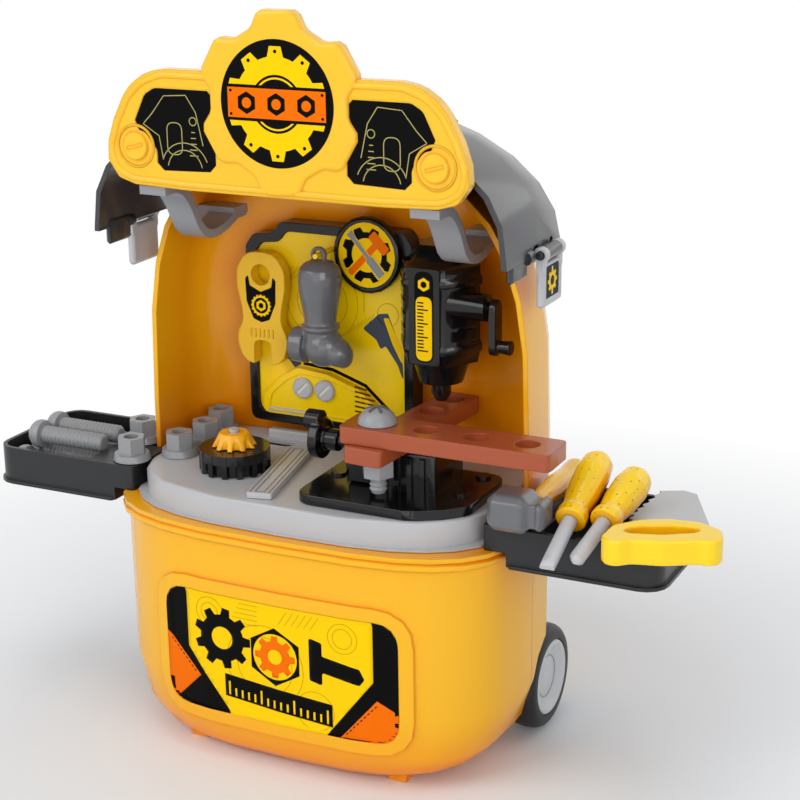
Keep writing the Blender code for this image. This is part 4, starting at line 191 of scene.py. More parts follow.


# The deep colours below are painted shade: orange or near black tints for the hollows of each
# plastic
HOLLOW_SHADE_ORANGE = (240, 138, 0)
YELLOW = plastic("case_yellow", (248, 184, 22), 0.22, coat=0.15, darker=0.94, deep=HOLLOW_SHADE_ORANGE,
                 edge=1.2 * MM)
SIGN_YELLOW = plastic("sign_yellow", (250, 194, 40), 0.22, coat=0.2, darker=0.95,
                      deep=(246, 160, 0), edge=2.2 * MM)
BOARD_YELLOW = plastic("board_yellow", (255, 214, 0), 0.26, coat=0.15, darker=0.95)
TOOL_YELLOW = plastic("tool_yellow", (254, 214, 10), 0.24, grain=0.04, coat=0.35, darker=0.93,
                      deep=(240, 160, 0), edge=1.2 * MM)
GRIP_YELLOW = plastic("grip_yellow", (254, 212, 14), 0.24, grain=0.05, coat=0.35, darker=0.93,
                      deep=(240, 160, 0), dots=(196, 140, 6))
SPANNER_YELLOW = plastic("wrench_yellow", (238, 188, 18), 0.27, coat=0.3, darker=0.92,
                         edge=1.4 * MM)
GEAR_YELLOW = plastic("gear_yellow", (252, 178, 16), 0.26, coat=0.3, darker=0.92)
BLACK = plastic("gloss_black", (17, 17, 19), 0.16, coat=0.2, darker=0.7)
CRANK_BLACK = plastic("crank_brown_black", (32, 23, 24), 0.18, coat=0.25, darker=0.7)
CANOPY = plastic("cover_black", (62, 63, 66), 0.22, coat=0.25, darker=0.85, deep=(20, 20, 22),
                 edge=1 * MM)
CHARCOAL = plastic("tray_charcoal", (42, 43, 45), 0.33, grain=0.08, coat=0.06, deep=(22, 22, 23),
                   edge=1 * MM)
GREY = plastic("worktop_grey", (186, 187, 190), 0.32, grain=0.05, coat=0.1, darker=0.94,
               edge=1.2 * MM)
ARM_GREY = plastic("arm_grey", (146, 147, 151), 0.32, darker=0.93, coat=0.1)
FASTENER = plastic("fastener_grey", (150, 151, 154), 0.3, grain=0.05, coat=0.1, darker=0.9)
TOOL_GREY = plastic("tool_grey", (104, 105, 109), 0.2, coat=0.4, darker=0.9, edge=1.2 * MM)
SILVER = plastic("silver_grey", (188, 189, 192), 0.28, coat=0.15, darker=0.94)
BROWN = plastic("plank_brown", (164, 78, 44), 0.24, grain=0.05, coat=0.25, darker=0.86,
                edge=1.2 * MM)
RUBBER = plastic("tyre_black", (36, 36, 37), 0.42, grain=0.15)
HUB = plastic("hub_grey", (198, 200, 203), 0.3, coat=0.15, darker=0.93)
INK_BLACK = ink("ink_black", (8, 8, 8))
INK_YELLOW = ink("ink_yellow", (252, 206, 10))
INK_ORANGE = ink("ink_orange", (243, 112, 4))
INK_LINE = ink("ink_ochre_line", (196, 158, 14))
INK_PALE = ink("ink_pale_line", (178, 168, 104))
INK_SLATE = ink("ink_slate", (72, 80, 94))
INK_GREY = ink("ink_grey", (140, 143, 146))
INK_BROWN = ink("ink_brown", (92, 56, 10))
INK_WHITE = ink("ink_white", (222, 222, 214))

# Which nodes have which finish; the bolts and nuts are added by their name
FINISHES = {node: finish for finish, nodes in (
    (YELLOW, "front_body_shell rear_body_shell upper_rear_shell carry_handle"),
    (GREY, "worktop"),
    (SILVER, "ruler_bar plank_bolt flat_driver_shaft cross_driver_shaft saw_blade left_clasp "
             "right_clasp"),
    (CHARCOAL, "left_tray right_tray"),
    (BLACK, "board_frame badge drill_body vise_base vise_jaw vise_screw crown_gear pull_grip"),
    (BOARD_YELLOW, "board_panel"),
    (SPANNER_YELLOW, "wrench"),
    (TOOL_GREY, "claw_hammer mallet_head"),
    (CRANK_BLACK, "drill_crank drill_chuck"),
    (BROWN, "long_plank cross_plank"),
    (FASTENER, "plank_nut"),
    (GEAR_YELLOW, "bevel_gear"),
    (TOOL_YELLOW, "mallet_handle saw_handle"),
    (GRIP_YELLOW, "flat_driver_handle cross_driver_handle"),
    (CANOPY, "cover"),
    (SIGN_YELLOW, "sign_board"),
    (INK_BLACK, "sign_disc"),
    (ARM_GREY, "left_sign_arm right_sign_arm"),
    (RUBBER, "left_tyre right_tyre"),
    (HUB, "left_wheel_hub right_wheel_hub"),
) for node in nodes.split()}
SPLIT_ANGLE = 50
# Voxel sizes of the nodes whose edges are all rounded off, as moulded in one piece
ROUNDED = {"saw_handle": 0.8 * MM, "mallet_handle": 0.7 * MM, "mallet_head": 0.7 * MM,
           "flat_driver_handle": 0.6 * MM, "cross_driver_handle": 0.6 * MM, "bevel_gear": 0.45 * MM,
           "drill_crank": 0.5 * MM, "left_clasp": 0.6 * MM, "right_clasp": 0.6 * MM,
           "vise_screw": 0.5 * MM}


def metal(name, colour, roughness):
    material = plastic(name, colour, roughness, grain=0.03, mottling=0.03)
    material.node_tree.nodes["Principled BSDF"].inputs["Metallic"].default_value = 1
    return material


def amber():
    """Tinted see-through plastic."""
    material = plastic("window_amber", (196, 96, 18), 0.14, coat=0.5, darker=0.7)
    material.node_tree.nodes["Principled BSDF"].inputs["Transmission Weight"].default_value = 0.35
    return material


RELAX_SHARE, RELAX_ROUNDS = 0.5, 8
WELD_REACH = 0.01 * MM
FLAT_FACE_WEIGHT = 60


def round_off(item, voxel):
    """Rebuild the piece from small voxels and relax it, so that all its edges are rounded."""
    voxels = item.modifiers.new("voxels", "REMESH")
    voxels.mode = "VOXEL"
    voxels.voxel_size = voxel
    voxels.use_smooth_shade = True
    relax = item.modifiers.new("relax", "SMOOTH")
    relax.factor = RELAX_SHARE
    relax.iterations = RELAX_ROUNDS


def smooth_node(item):
    """Weld the node's facets and shade it smooth, with its corners kept or rounded off."""
    mesh = item.data
    for name in ("custom_normal", "sharp_edge"):
        if name in mesh.attributes:
            mesh.attributes.remove(mesh.attributes[name])
    mesh.shade_smooth()
    item.modifiers.new("weld", "WELD").merge_threshold = WELD_REACH
    if item.name in ROUNDED:
        round_off(item, ROUNDED[item.name])
        return
    split = item.modifiers.new("corners", "EDGE_SPLIT")
    split.split_angle = math.radians(SPLIT_ANGLE)
    split.use_edge_sharp = False
    item.modifiers.new("flat_faces", "WEIGHTED_NORMAL").weight = FLAT_FACE_WEIGHT


def dress_nodes():
    chrome = metal("plated_steel", (205, 206, 208), 0.14)
    FINISHES.update({"pull_tube": chrome, "wheel_axle": chrome, "cover_window": amber()})
    for name, item in NODES.items():
        if name.startswith(("tray_bolt", "flange_nut")):
            FINISHES[name] = FASTENER
        if not item.material_slots:
            item.data.materials.append(FINISHES[name])
        for slot in item.material_slots:
            slot.material = FINISHES[name]
        smooth_node(item)


# Outlines, in millimetres
def circle(radius, centre=(0, 0), count=48):
    return [(centre[0] + radius * math.cos(2 * math.pi * step / count),
             centre[1] + radius * math.sin(2 * math.pi * step / count)) for step in range(count)]


def ring(radius, width, centre=(0, 0), count=48):
    return [circle(radius + width / 2, centre, count), circle(radius - width / 2, centre, count)]


def rectangle(low, high):
    return [(low[0], low[1]), (high[0], low[1]), (high[0], high[1]), (low[0], high[1])]


def centred(half_width, half_height):
    return rectangle((-half_width, -half_height), (half_width, half_height))


def rounded(points, radius, steps=5):
    """Polygon with its corners rounded to about the given radius."""
    result = []
    total = len(points)
    for index in range(total):
        before, corner, after = (Vector(points[(index + shift) % total]) for shift in (-1, 0, 1))
        inward, outward = before - corner, after - corner
        half = inward.angle(outward) / 2
        reach = min(radius / math.tan(half), inward.length * 0.49, outward.length * 0.49)
        first, last = corner + inward.normalized() * reach, corner + outward.normalized() * reach
        for step in range(steps + 1):
            share = step / steps
            point = first * (1 - share) ** 2 + corner * 2 * share * (1 - share) + last * share ** 2
            result.append((point.x, point.y))
    return result


# Width of a cog's tooth at its root and at its tip, as shares of the pitch
ROOT_SHARE, TIP_SHARE, ROOT_STEPS = 0.62, 0.36, 4


def cog(teeth, root, tip, centre=(0, 0), start=0.0):
    """Cog wheel outline with curved roots."""
    result = []
    corners = ((root, -ROOT_SHARE), (tip, -TIP_SHARE), (tip, TIP_SHARE), (root, ROOT_SHARE))
    for tooth in range(teeth):
        for radius, shift in corners:
            angle = 2 * math.pi * (tooth + start + shift / 2) / teeth
            result.append((centre[0] + radius * math.cos(angle),
                           centre[1] + radius * math.sin(angle)))
        for step in range(1, ROOT_STEPS):
            shift = ROOT_SHARE / 2 + (1 - ROOT_SHARE) * step / ROOT_STEPS
            angle = 2 * math.pi * (tooth + start + shift) / teeth
            result.append((centre[0] + root * math.cos(angle), centre[1] + root * math.sin(angle)))
    return result


def ribbon(path, width):
    """Outline of a line of even width along a path."""
    upper, lower = [], []
    for index, point in enumerate(path):
        before, after = path[max(index - 1, 0)], path[min(index + 1, len(path) - 1)]
        direction = (Vector(after) - Vector(before)).normalized()
        normal = Vector((-direction.y, direction.x)) * width / 2
        upper.append(tuple(Vector(point) + normal))
        lower.append(tuple(Vector(point) - normal))
    return lower + list(reversed(upper))


def hatching(start, start_step, end, end_step, count, width):
    """Straight lines, each with its two ends a step further on than the one before."""
    return [ribbon([(start[0] + start_step[0] * line, start[1] + start_step[1] * line),
                    (end[0] + end_step[0] * line, end[1] + end_step[1] * line)], width)
            for line in range(count)]


def arc(radius, centre, start, end, steps=24):
    return [(centre[0] + radius * math.cos(math.radians(start + (end - start) * step / steps)),
             centre[1] + radius * math.sin(math.radians(start + (end - start) * step / steps)))
            for step in range(steps + 1)]


def moved(points, angle, centre=(0, 0)):
    """Turn a shape by an angle in degrees, then move it to centre."""
    turn = math.radians(angle)
    across, along = math.cos(turn), math.sin(turn)
    return [(centre[0] + x * across - y * along, centre[1] + x * along + y * across)
            for x, y in points]


def hexagon(radius, centre):
    return moved(circle(radius, (0, 0), 6), 30, centre)


def clipped(points, across, along, limit):
    """The part of a convex outline where across * x + along * y is at most limit."""
    result = []
    for (x, y), (next_x, next_y) in zip(points, points[1:] + points[:1]):
        here = across * x + along * y - limit
        there = across * next_x + along * next_y - limit
        if here <= 0:
            result.append((x, y))
        if here * there < 0:
            share = here / (here - there)
            result.append((x + (next_x - x) * share, y + (next_y - y) * share))
    return result


# Placements: an outline's X and Y are laid along two directions, its Z points out of the surface
SIDES = ((-1, "left"), (1, "right"))


def shift(x, y, z):
    return Matrix.Translation(Vector((x, y, z)) * MM)


def spin(angle, axis):
    return Matrix.Rotation(math.radians(angle), 4, axis)


def facing_front(y, x=0, z=0):
    return shift(x, y, z) @ spin(90, "X")


def facing_up(x, y, z, turn):
    return shift(x, y, z) @ spin(turn, "Z")


def facing_side(x, side):
    axes = Matrix(((0, 0, side, 0), (side, 0, 0, 0), (0, 1, 0, 0), (0, 0, 0, 1)))
    return Matrix.Translation((x * MM, 0, 0)) @ axes


def above(place, rise):
    """The same placement, rise millimetres further out."""
    return place @ Matrix.Translation((0, 0, rise * MM))


SHARP_ANGLE = 40
WELD_DISTANCE = 0.001 * MM


def add_piece(name, mesh, place, material, body):
    mesh.materials.append(material)
    mesh.shade_smooth()
    mesh.set_sharp_from_angle(angle=math.radians(SHARP_ANGLE))
    item = new_object(name, mesh)
    item.matrix_world = PLACE @ place
    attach(item, body)
    return item


def curve_mesh(name, curve, outlines):
    """Mesh of a curve object with one closed line of straight pieces for each outline."""
    for outline in outlines:
        spline = curve.splines.new("POLY")
        spline.points.add(len(outline) - 1)
        for point, (across, along) in zip(spline.points, outline):
            point.co = (across * MM, along * MM, 0, 1)
        spline.use_cyclic_u = True
    source = new_object(name + "_curve", curve)
    bpy.context.view_layer.update()
    evaluated = source.evaluated_get(bpy.context.evaluated_depsgraph_get())
    mesh = bpy.data.meshes.new_from_object(evaluated)
    bpy.data.objects.remove(source, do_unlink=True)
    return mesh


def filled(name, outlines, rise):
    """Mesh of flat outlines, with any holes, that stands rise above its plane."""
    curve = bpy.data.curves.new(name, "CURVE")
    curve.dimensions = "2D"
    curve.fill_mode = "BOTH"
    curve.extrude = rise / 2 * MM
    mesh = curve_mesh(name, curve, outlines)
    build = bmesh.new()
    build.from_mesh(mesh)
    bmesh.ops.translate(build, verts=build.verts, vec=(0, 0, rise / 2 * MM))
    bmesh.ops.remove_doubles(build, verts=build.verts, dist=WELD_DISTANCE)
    bmesh.ops.recalc_face_normals(build, faces=build.faces)
    build.to_mesh(mesh)
    build.free()
    mesh.name = name
    return mesh


PRINT_RISE = 0.12


def prism(name, outlines, place, material, body="case", rise=PRINT_RISE):
    return add_piece(name, filled(name, outlines, rise), place, material, body)


def turned(name, profile, place, material, body="case", sides=48):
    """Turned shape from a (radius, height) profile in millimetres, about local Z."""
    build = bmesh.new()
    rows = []
    for step in range(sides):
        angle = 2 * math.pi * step / sides
        rows.append([build.verts.new((radius * MM * math.cos(angle), radius * MM * math.sin(angle),
                                      height * MM)) for radius, height in profile])
    for step in range(sides):
        first, second = rows[step], rows[(step + 1) % sides]
        for index in range(len(profile) - 1):
            build.faces.new((first[index], second[index], second[index + 1], first[index + 1]))
    bmesh.ops.remove_doubles(build, verts=build.verts, dist=WELD_DISTANCE)
    bmesh.ops.dissolve_degenerate(build, edges=build.edges, dist=WELD_DISTANCE)
    bmesh.ops.recalc_face_normals(build, faces=build.faces)
    mesh = bpy.data.meshes.new(name)
    build.to_mesh(mesh)
    build.free()
    return add_piece(name, mesh, place, material, body)


def surface_of(node):
    mesh = NODES[node].data
    points = [vertex.co.copy() for vertex in mesh.vertices]
    return BVHTree.FromPolygons(points, [tuple(face.vertices) for face in mesh.polygons])


WRAP_STEP = 3.0
WRAP_TOLERANCE = 0.0001 * MM
LABEL_THICKNESS = 0.1 * MM
IN_FRONT = -200 * MM


def wrap(name, outlines, tree, material, rise):
    """Lay flat outlines, seen from the front, on a curved surface, as a thin sheet."""
    mesh = filled(name, outlines, 0)
    build = bmesh.new()
    build.from_mesh(mesh)
    bmesh.ops.triangulate(build, faces=build.faces)
    for axis in (0, 1):
        along = Vector((1 - axis, axis, 0))
        spots = [vertex.co[axis] / MM for vertex in build.verts]
        step = math.ceil(min(spots) / WRAP_STEP) * WRAP_STEP
        while step < max(spots):
            bmesh.ops.bisect_plane(build, geom=build.verts[:] + build.edges[:] + build.faces[:],
                                   plane_co=along * step * MM, plane_no=along, dist=WRAP_TOLERANCE)
            step += WRAP_STEP
    for vertex in build.verts:
        start = ORIGIN + Vector((vertex.co.x, IN_FRONT, vertex.co.y))
        spot = tree.ray_cast(start, Vector((0, 1, 0)))[0]
        vertex.co = spot - Vector((0, rise * MM, 0)) - ORIGIN
    for face in build.faces:
        face.normal_update()
        if face.normal.y > 0:
            face.normal_flip()
    build.to_mesh(mesh)
    build.free()
    item = add_piece(name, mesh, Matrix.Identity(4), material, "case")
    thick = item.modifiers.new("thickness", "SOLIDIFY")
    thick.thickness = LABEL_THICKNESS
    thick.offset = 1


# Front label
LABEL_HALF, LABEL_LOW, LABEL_HIGH, LABEL_ROUNDING = 75, 31, 105, 14.5
# How far each layer of the print stands off the case
GROUND_RISE, PANEL_RISE, LINE_RISE = 0.05, 0.15, 0.25
STITCH_RISE, MOTIF_RISE, TICK_RISE = 0.27, 0.29, 0.41
# Half planes, as across, up and limit, that leave the yellow middle on one side
MIDDLE_SIDE = ((1, 0, 60), (39, -30, 39 * 60 - 30 * 68))
# Orange corners: the ends of the stitched line, then half planes as across, up and limit
LABEL_CORNERS = {"left": (((-73, 71), (-55, 52)), ((24, 23, -75), (1, -1, -103))),
                 "right": (((43, 33), (62.5, 54.5)), ((-26, 22, -358), (7, 13, 1175)))}
STITCHES, STITCH_START, STITCH_END, STITCH_WIDTH = 9, 0.15, 0.7, 0.6
FINE_RINGS = ((25, (-8, 66)), (18, (-8, 66)), (9, (42, 92)), (6, (42, 92)), (12, (24, 44)),
              (5, (24, 44)), (9, (-44, 93)), (5.5, (-44, 93)))
RING_WIDTH, HATCH_WIDTH = 0.35, 0.3
LABEL_COG_SPOT, LABEL_NUT_SPOT = (-36, 78), (-1, 73)
HAMMER_MARK = ((21, 89), (21, 63), (29, 61), (29, 69), (52, 65), (55, 69), (52, 75), (29, 79),
               (29, 87))
# Slanting bar with a tick scale: left, right, low and high, and its drop from left to right
LABEL_BAR, BAR_LIFT, BAR_SINK = (-35, 35, 38, 52), 4, 2
TICKS, LONG_TICK_EVERY, LONG_TICK, SHORT_TICK, TICK_HALF = 16, 5, 8.5, 5, 0.6
TICK_MARGIN, TICK_BASE = 3, 1.4


def add_label():
    """Printed panel: yellow ground with fine drawing, dark side bands, orange corners, motifs."""
    tree = surface_of("front_body_shell")
    panel = rectangle((-LABEL_HALF, LABEL_LOW), (LABEL_HALF, LABEL_HIGH))
    panel = rounded(panel, LABEL_ROUNDING, 8)
    wrap("label_ground", [panel], tree, INK_BLACK, GROUND_RISE)
    middle = panel
    for side in (-1, 1):
        for across, up, limit in MIDDLE_SIDE:
            middle = clipped(middle, side * across, up, limit)
    wrap("label_middle", [middle], tree, INK_YELLOW, PANEL_RISE)
    lines = [ring(radius, RING_WIDTH, spot) for radius, spot in FINE_RINGS]
    lines.append(hatching((-30, 90), (1.5, 3), (-12, 90), (0, 3), 5, HATCH_WIDTH))
    lines.append(hatching((2, 94), (4, 0), (8, 103), (4, 0), 6, HATCH_WIDTH))
    for index, shapes in enumerate(lines):
        wrap("label_lines_" + str(index), shapes, tree, INK_LINE, LINE_RISE)
    for word, ((start, end), sides) in LABEL_CORNERS.items():
        corner = panel
        for across, up, limit in sides:
            corner = clipped(corner, across, up, limit)
        wrap("label_corner_" + word, [corner], tree, INK_ORANGE, PANEL_RISE)
        start, end = Vector(start), Vector(end)
        dashes = [ribbon([start.lerp(end, (dash + STITCH_START) / STITCHES),
                          start.lerp(end, (dash + STITCH_END) / STITCHES)], STITCH_WIDTH)
                  for dash in range(STITCHES)]
        wrap("label_stitch_" + word, dashes, tree, INK_BLACK, STITCH_RISE)
    small_cog = [cog(8, 9.8, 13, LABEL_NUT_SPOT), circle(4.6, LABEL_NUT_SPOT)]
    motifs = (("cog", [cog(9, 14.5, 19, LABEL_COG_SPOT), circle(7, LABEL_COG_SPOT)], INK_BLACK),
              ("nut", [hexagon(18, LABEL_NUT_SPOT), circle(14.2, LABEL_NUT_SPOT)], INK_BLACK),
              ("cog_middle", small_cog, INK_ORANGE),
              ("bolt", [rounded(HAMMER_MARK, 1.5)], INK_BLACK))
    for word, shapes, colour in motifs:
        wrap("label_" + word, shapes, tree, colour, MOTIF_RISE)
    left, right, low, high = LABEL_BAR
    bar = [(left, low + BAR_LIFT), (right, low - BAR_SINK), (right, high - BAR_SINK),
           (left, high + BAR_LIFT)]
    wrap("label_bar", [bar], tree, INK_BLACK, MOTIF_RISE)
    ticks = []
    for tick in range(TICKS):
        across = left + TICK_MARGIN + tick * (right - left - 2 * TICK_MARGIN) / (TICKS - 1)
        base = low + BAR_LIFT - (BAR_LIFT + BAR_SINK) * (across - left) / (right - left) + TICK_BASE
        height = SHORT_TICK if tick % LONG_TICK_EVERY else LONG_TICK
        ticks.append(rectangle((across - TICK_HALF, base), (across + TICK_HALF, base + height)))
    wrap("label_ticks", ticks, tree, INK_YELLOW, TICK_RISE)


# Sign
GEAR_FRONT, WING_FRONT, GEAR_Z, DISC_RADIUS = -54.5, -52.5, 383.6, 33
WING_HALF, WING_LOW, WING_HIGH = 110.8, 333, 398.6
INSERT_SHARES = ((0.36, 0.17), (0.7, 0.15), (0.7, 0.32), (0.76, 0.46), (0.84, 0.5), (0.76, 0.78),
                 (0.7, 0.84), (0.36, 0.84))
DISC_SINK, DISC_RISE, INSERT_SINK, INSERT_RISE = 1.2, 1.3, 1.25, 0.6
SIGN_BOSS_X, SIGN_BOSS_Z, BOSS_HEIGHT, SLOT_RISE = 91, 355.6, 1.6, 0.2
SIGN_TEETH, SIGN_COG_ROOT, SIGN_COG_TIP, SIGN_COG_HOLE, SIGN_RING = 10, 25, 30.5, 15.5, 13.6
DOT_CIRCLE, DOT_RADIUS = 27.6, 1.0
BAND_EDGE, BAND = (31, 9.6), (29.5, 8)
BAND_NUTS, BAND_RIVET, RIVET_RADIUS = (-18, 0, 18), (27.6, 6.2), 0.8
SLOT_TURN, SLOT_HALVES = 16, ((5.5, 1.2), (4.9, 0.6))
BOSS_RING = ((10.6, 0), (10.9, 0.5), (11.5, 0.7), (12.1, 0.5), (12.4, 0), (10.6, 0))


def wing_outline(shares, side=1):
    """Outline given in shares of a wing's half width and height."""
    return [(side * WING_HALF * across, WING_LOW + (WING_HIGH - WING_LOW) * up)
            for across, up in shares]


def add_sign_prints():
    place = facing_front(GEAR_FRONT + DISC_SINK, 0, GEAR_Z)
    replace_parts(prism("sign_disc_fine", [circle(DISC_RADIUS + 1, count=96)], place, INK_BLACK,
                      rise=DISC_RISE), "sign_disc")
    disc = facing_front(GEAR_FRONT - 0.1, 0, GEAR_Z)
    wheel = [cog(SIGN_TEETH, SIGN_COG_ROOT, SIGN_COG_TIP, start=0.5), circle(SIGN_COG_HOLE)]
    prism("sign_cog", wheel, disc, INK_YELLOW)
    prism("sign_ring", ring(SIGN_RING, 1), disc, INK_YELLOW)
    angles = [2 * math.pi * (tooth + 0.5) / SIGN_TEETH for tooth in range(SIGN_TEETH)]
    dots = [circle(DOT_RADIUS, (DOT_CIRCLE * math.cos(angle), DOT_CIRCLE * math.sin(angle)), 12)
            for angle in angles]
    prism("sign_cog_dots", dots, above(disc, PRINT_RISE), INK_BLACK)
    band = above(disc, 0.14)
    prism("sign_band_edge", [centred(*BAND_EDGE)], band, INK_BLACK)
    prism("sign_band", [centred(*BAND)], above(band, PRINT_RISE), INK_ORANGE)
    marks = []
    for across in BAND_NUTS:
        marks += [hexagon(6, (across, 0)), circle(2.9, (across, 0), 24)]
    marks += [circle(RIVET_RADIUS, (sx * BAND_RIVET[0], sz * BAND_RIVET[1]), 12)
              for sx in (-1, 1) for sz in (-1, 1)]
    prism("sign_band_nuts", marks, above(band, 2 * PRINT_RISE), INK_BLACK)
    for side, word in SIDES:
        prism("sign_insert_" + word, [rounded(wing_outline(INSERT_SHARES, side), 4)],
              facing_front(WING_FRONT + INSERT_SINK), INK_BLACK, rise=INSERT_RISE)
        add_insert_lines(side, word)
        # The boss slot is not cut: a darker yellow outline on the boss is painted shade for it
        slot = [moved(centred(*halves), SLOT_TURN) for halves in SLOT_HALVES]
        boss = (side * SIGN_BOSS_X, SIGN_BOSS_Z)
        prism("sign_boss_slot_" + word, slot, facing_front(WING_FRONT - BOSS_HEIGHT, *boss),
              GEAR_YELLOW, rise=SLOT_RISE)
        turned("sign_boss_ring_" + word, BOSS_RING, facing_front(WING_FRONT, *boss), SIGN_YELLOW)


WING_SHARES = ((0.55, 0), (0.88, 0.02), (0.98, 0.12), (1, 0.3), (0.95, 0.55), (0.88, 0.78),
               (0.8, 0.92), (0.68, 1))
BORDER_INSET, BORDER_RADIUS, BORDER_SINK, WING_ROUNDING = 3.2, 2, 0.8, 20
# Fine lines on the dark inserts
INSERT_LINE, INSERT_LINE_RISE, INSERT_FACE = 0.5, 0.1, WING_FRONT + 0.64
RUNGS, RUNG_LOW, RUNG_GAP, RUNG_WIDTH, RUNG_NARROWING = 5, 352, 3.2, 5.5, 0.8
LOOP_SPOT, LOOP_HALVES = (66, 361), ((5, 9), (4.5, 8.5))


def add_sign_border():
    """Round bead just inside the edge of the sign's wings, half sunk in their face."""
    shares = list(WING_SHARES) + [(-across, up) for across, up in reversed(WING_SHARES)]
    middle, half = (WING_LOW + WING_HIGH) / 2, (WING_HIGH - WING_LOW) / 2
    reach, height = (WING_HALF - BORDER_INSET) / WING_HALF, (half - BORDER_INSET) / half
    inner = [(across * reach, middle + (up - middle) * height)
             for across, up in rounded(wing_outline(shares), WING_ROUNDING, 4)]
    curve = bpy.data.curves.new("sign_border", "CURVE")
    curve.dimensions = "3D"
    curve.bevel_depth = BORDER_RADIUS * MM
    curve.bevel_resolution = 5
    add_piece("sign_border", curve_mesh("sign_border", curve, [inner]),
              facing_front(WING_FRONT + BORDER_SINK), SIGN_YELLOW, "case")


def add_insert_lines(side, word):
    """Drawing on one wing's insert; side is -1 for the left wing and 1 for the right one."""
    def line(*points):
        return [ribbon([(side * across, up) for across, up in points], INSERT_LINE)]

    place = facing_front(INSERT_FACE)
    middle, height = side * LOOP_SPOT[0], LOOP_SPOT[1]
    loop = [rounded(rectangle((middle - half, height - tall), (middle + half, height + tall)),
                    half - 0.5) for half, tall in LOOP_HALVES]
    shapes = {"arc_low": [ribbon(arc(15, (side * 60, 344), 20, 160), INSERT_LINE)],
              "arc_low_2": [ribbon(arc(11, (side * 60, 344), 10, 170), INSERT_LINE)],
              "loop": loop,
              "dial": ring(2.2, INSERT_LINE, (side * 54, 371), 24),
              "spout": line((48, 358), (52, 376), (58, 385)),
              "body": line((58, 385), (72, 384), (80, 374), (86, 368)),
              "foot": line((74, 350), (76, 362), (86, 368))}
    for name, outlines in shapes.items():
        prism("insert_" + name + "_" + word, outlines, place, INK_PALE, rise=INSERT_LINE_RISE)
    for rung in range(RUNGS):
        low, half = RUNG_LOW + rung * RUNG_GAP, (RUNG_WIDTH - rung * RUNG_NARROWING) / 2
        bar = rectangle((side * 54 - half, low), (side * 54 + half, low + INSERT_LINE))
        prism("insert_rung_" + word + "_" + str(rung), [bar], place, INK_PALE,
              rise=INSERT_LINE_RISE)


# Badge, board, wrench and drill prints; a FACE is the depth of the surface that is printed on
BADGE, BADGE_STRETCH, BADGE_TURN, BADGE_BACK_TURN = (40.3, 3.5, 282.5), 1.05, -45, 42
BADGE_SHAFT = ((-2.6, -15), (2.6, -15), (2.6, -3), (1.2, -1.5), (1.2, 12), (2.4, 16.5),
               (-2.4, 16.5), (-1.2, 12), (-1.2, -1.5), (-2.6, -3))
BOARD_FACE, RACK_FACE, SCREW_FACE = 46, 40, 38.4
BOARD_LINE, BOARD_HATCH = 0.4, 0.35
WRENCH_FACE, WRENCH_X, WRENCH_COG = 35.7, -66.5, (0, 246)
DRILL_FACE, DRILL_X, DRILL_Y = 10.8, 55, 32
DRILL_PANEL_RISE, DRILL_PAD_TURN, DRILL_PAD_FACE = 2.0, 60, -21.2
PADS, PAD_LOW, PAD_GAP, PAD_HALF, PAD_HEIGHT, PAD_RISE = 4, 243.5, 8, 8.5, 5.8, 1.3


def add_badge_print():
    dish = facing_front(*BADGE) @ Matrix.Diagonal((1, BADGE_STRETCH, 1, 1))
    prism("badge_ground", [circle(18.6, count=64)], dish, INK_YELLOW)
    layer = above(dish, PRINT_RISE)
    prism("badge_cog", [cog(8, 13.2, 16.2, start=0.5), circle(9.8)], layer, INK_BLACK)
    layer = above(dish, 2 * PRINT_RISE)
    handle = moved(rounded(rectangle((-2, -16), (2, 9)), 1.6), BADGE_TURN)
    head = moved(rounded(rectangle((-6.5, 8), (7.5, 14)), 1.5), BADGE_TURN)
    edge = moved(rounded(rectangle((-2.8, -16.8), (2.8, 9.5)), 2), BADGE_TURN)
    prism("badge_handle_edge", [edge], layer, INK_YELLOW)
    layer = above(dish, 3 * PRINT_RISE)
    prism("badge_handle", [handle], layer, INK_ORANGE)
    prism("badge_head", [head], layer, INK_ORANGE, rise=0.14)
    layer = above(dish, 4.4 * PRINT_RISE)
    edge = moved([(x * 1.35, y * 1.04) for x, y in BADGE_SHAFT], BADGE_BACK_TURN)
    prism("badge_shaft_edge", [edge], layer, INK_YELLOW)
    shaft = moved(BADGE_SHAFT, BADGE_BACK_TURN)
    prism("badge_shaft", [shaft], above(layer, PRINT_RISE), INK_GREY)


RACK = ((0, 0), (1, 0), (0.9, 0.28), (0.74, 0.7), (0.5, 0.94), (0.28, 1), (0.16, 0.8), (0.03, 0.4))
RACK_BOX = (-71, 21, 177, 208)
SCREW_SPOTS = ((-41, 196), (-26, 196))
SCREW_RIM = ((6.05, -1.6), (6.6, -1.4), (6.6, 0.2), (6.05, 0.4), (6.05, -1.6))


def rack_outline(inset, width, lift, height):
    """The rack's outline, set in from its left and low edge and narrowed, as shares of its box."""
    left, right, low, high = RACK_BOX
    return [(left + (right - left) * (inset + across * width),
             low + (high - low) * (lift + up * height)) for across, up in RACK]


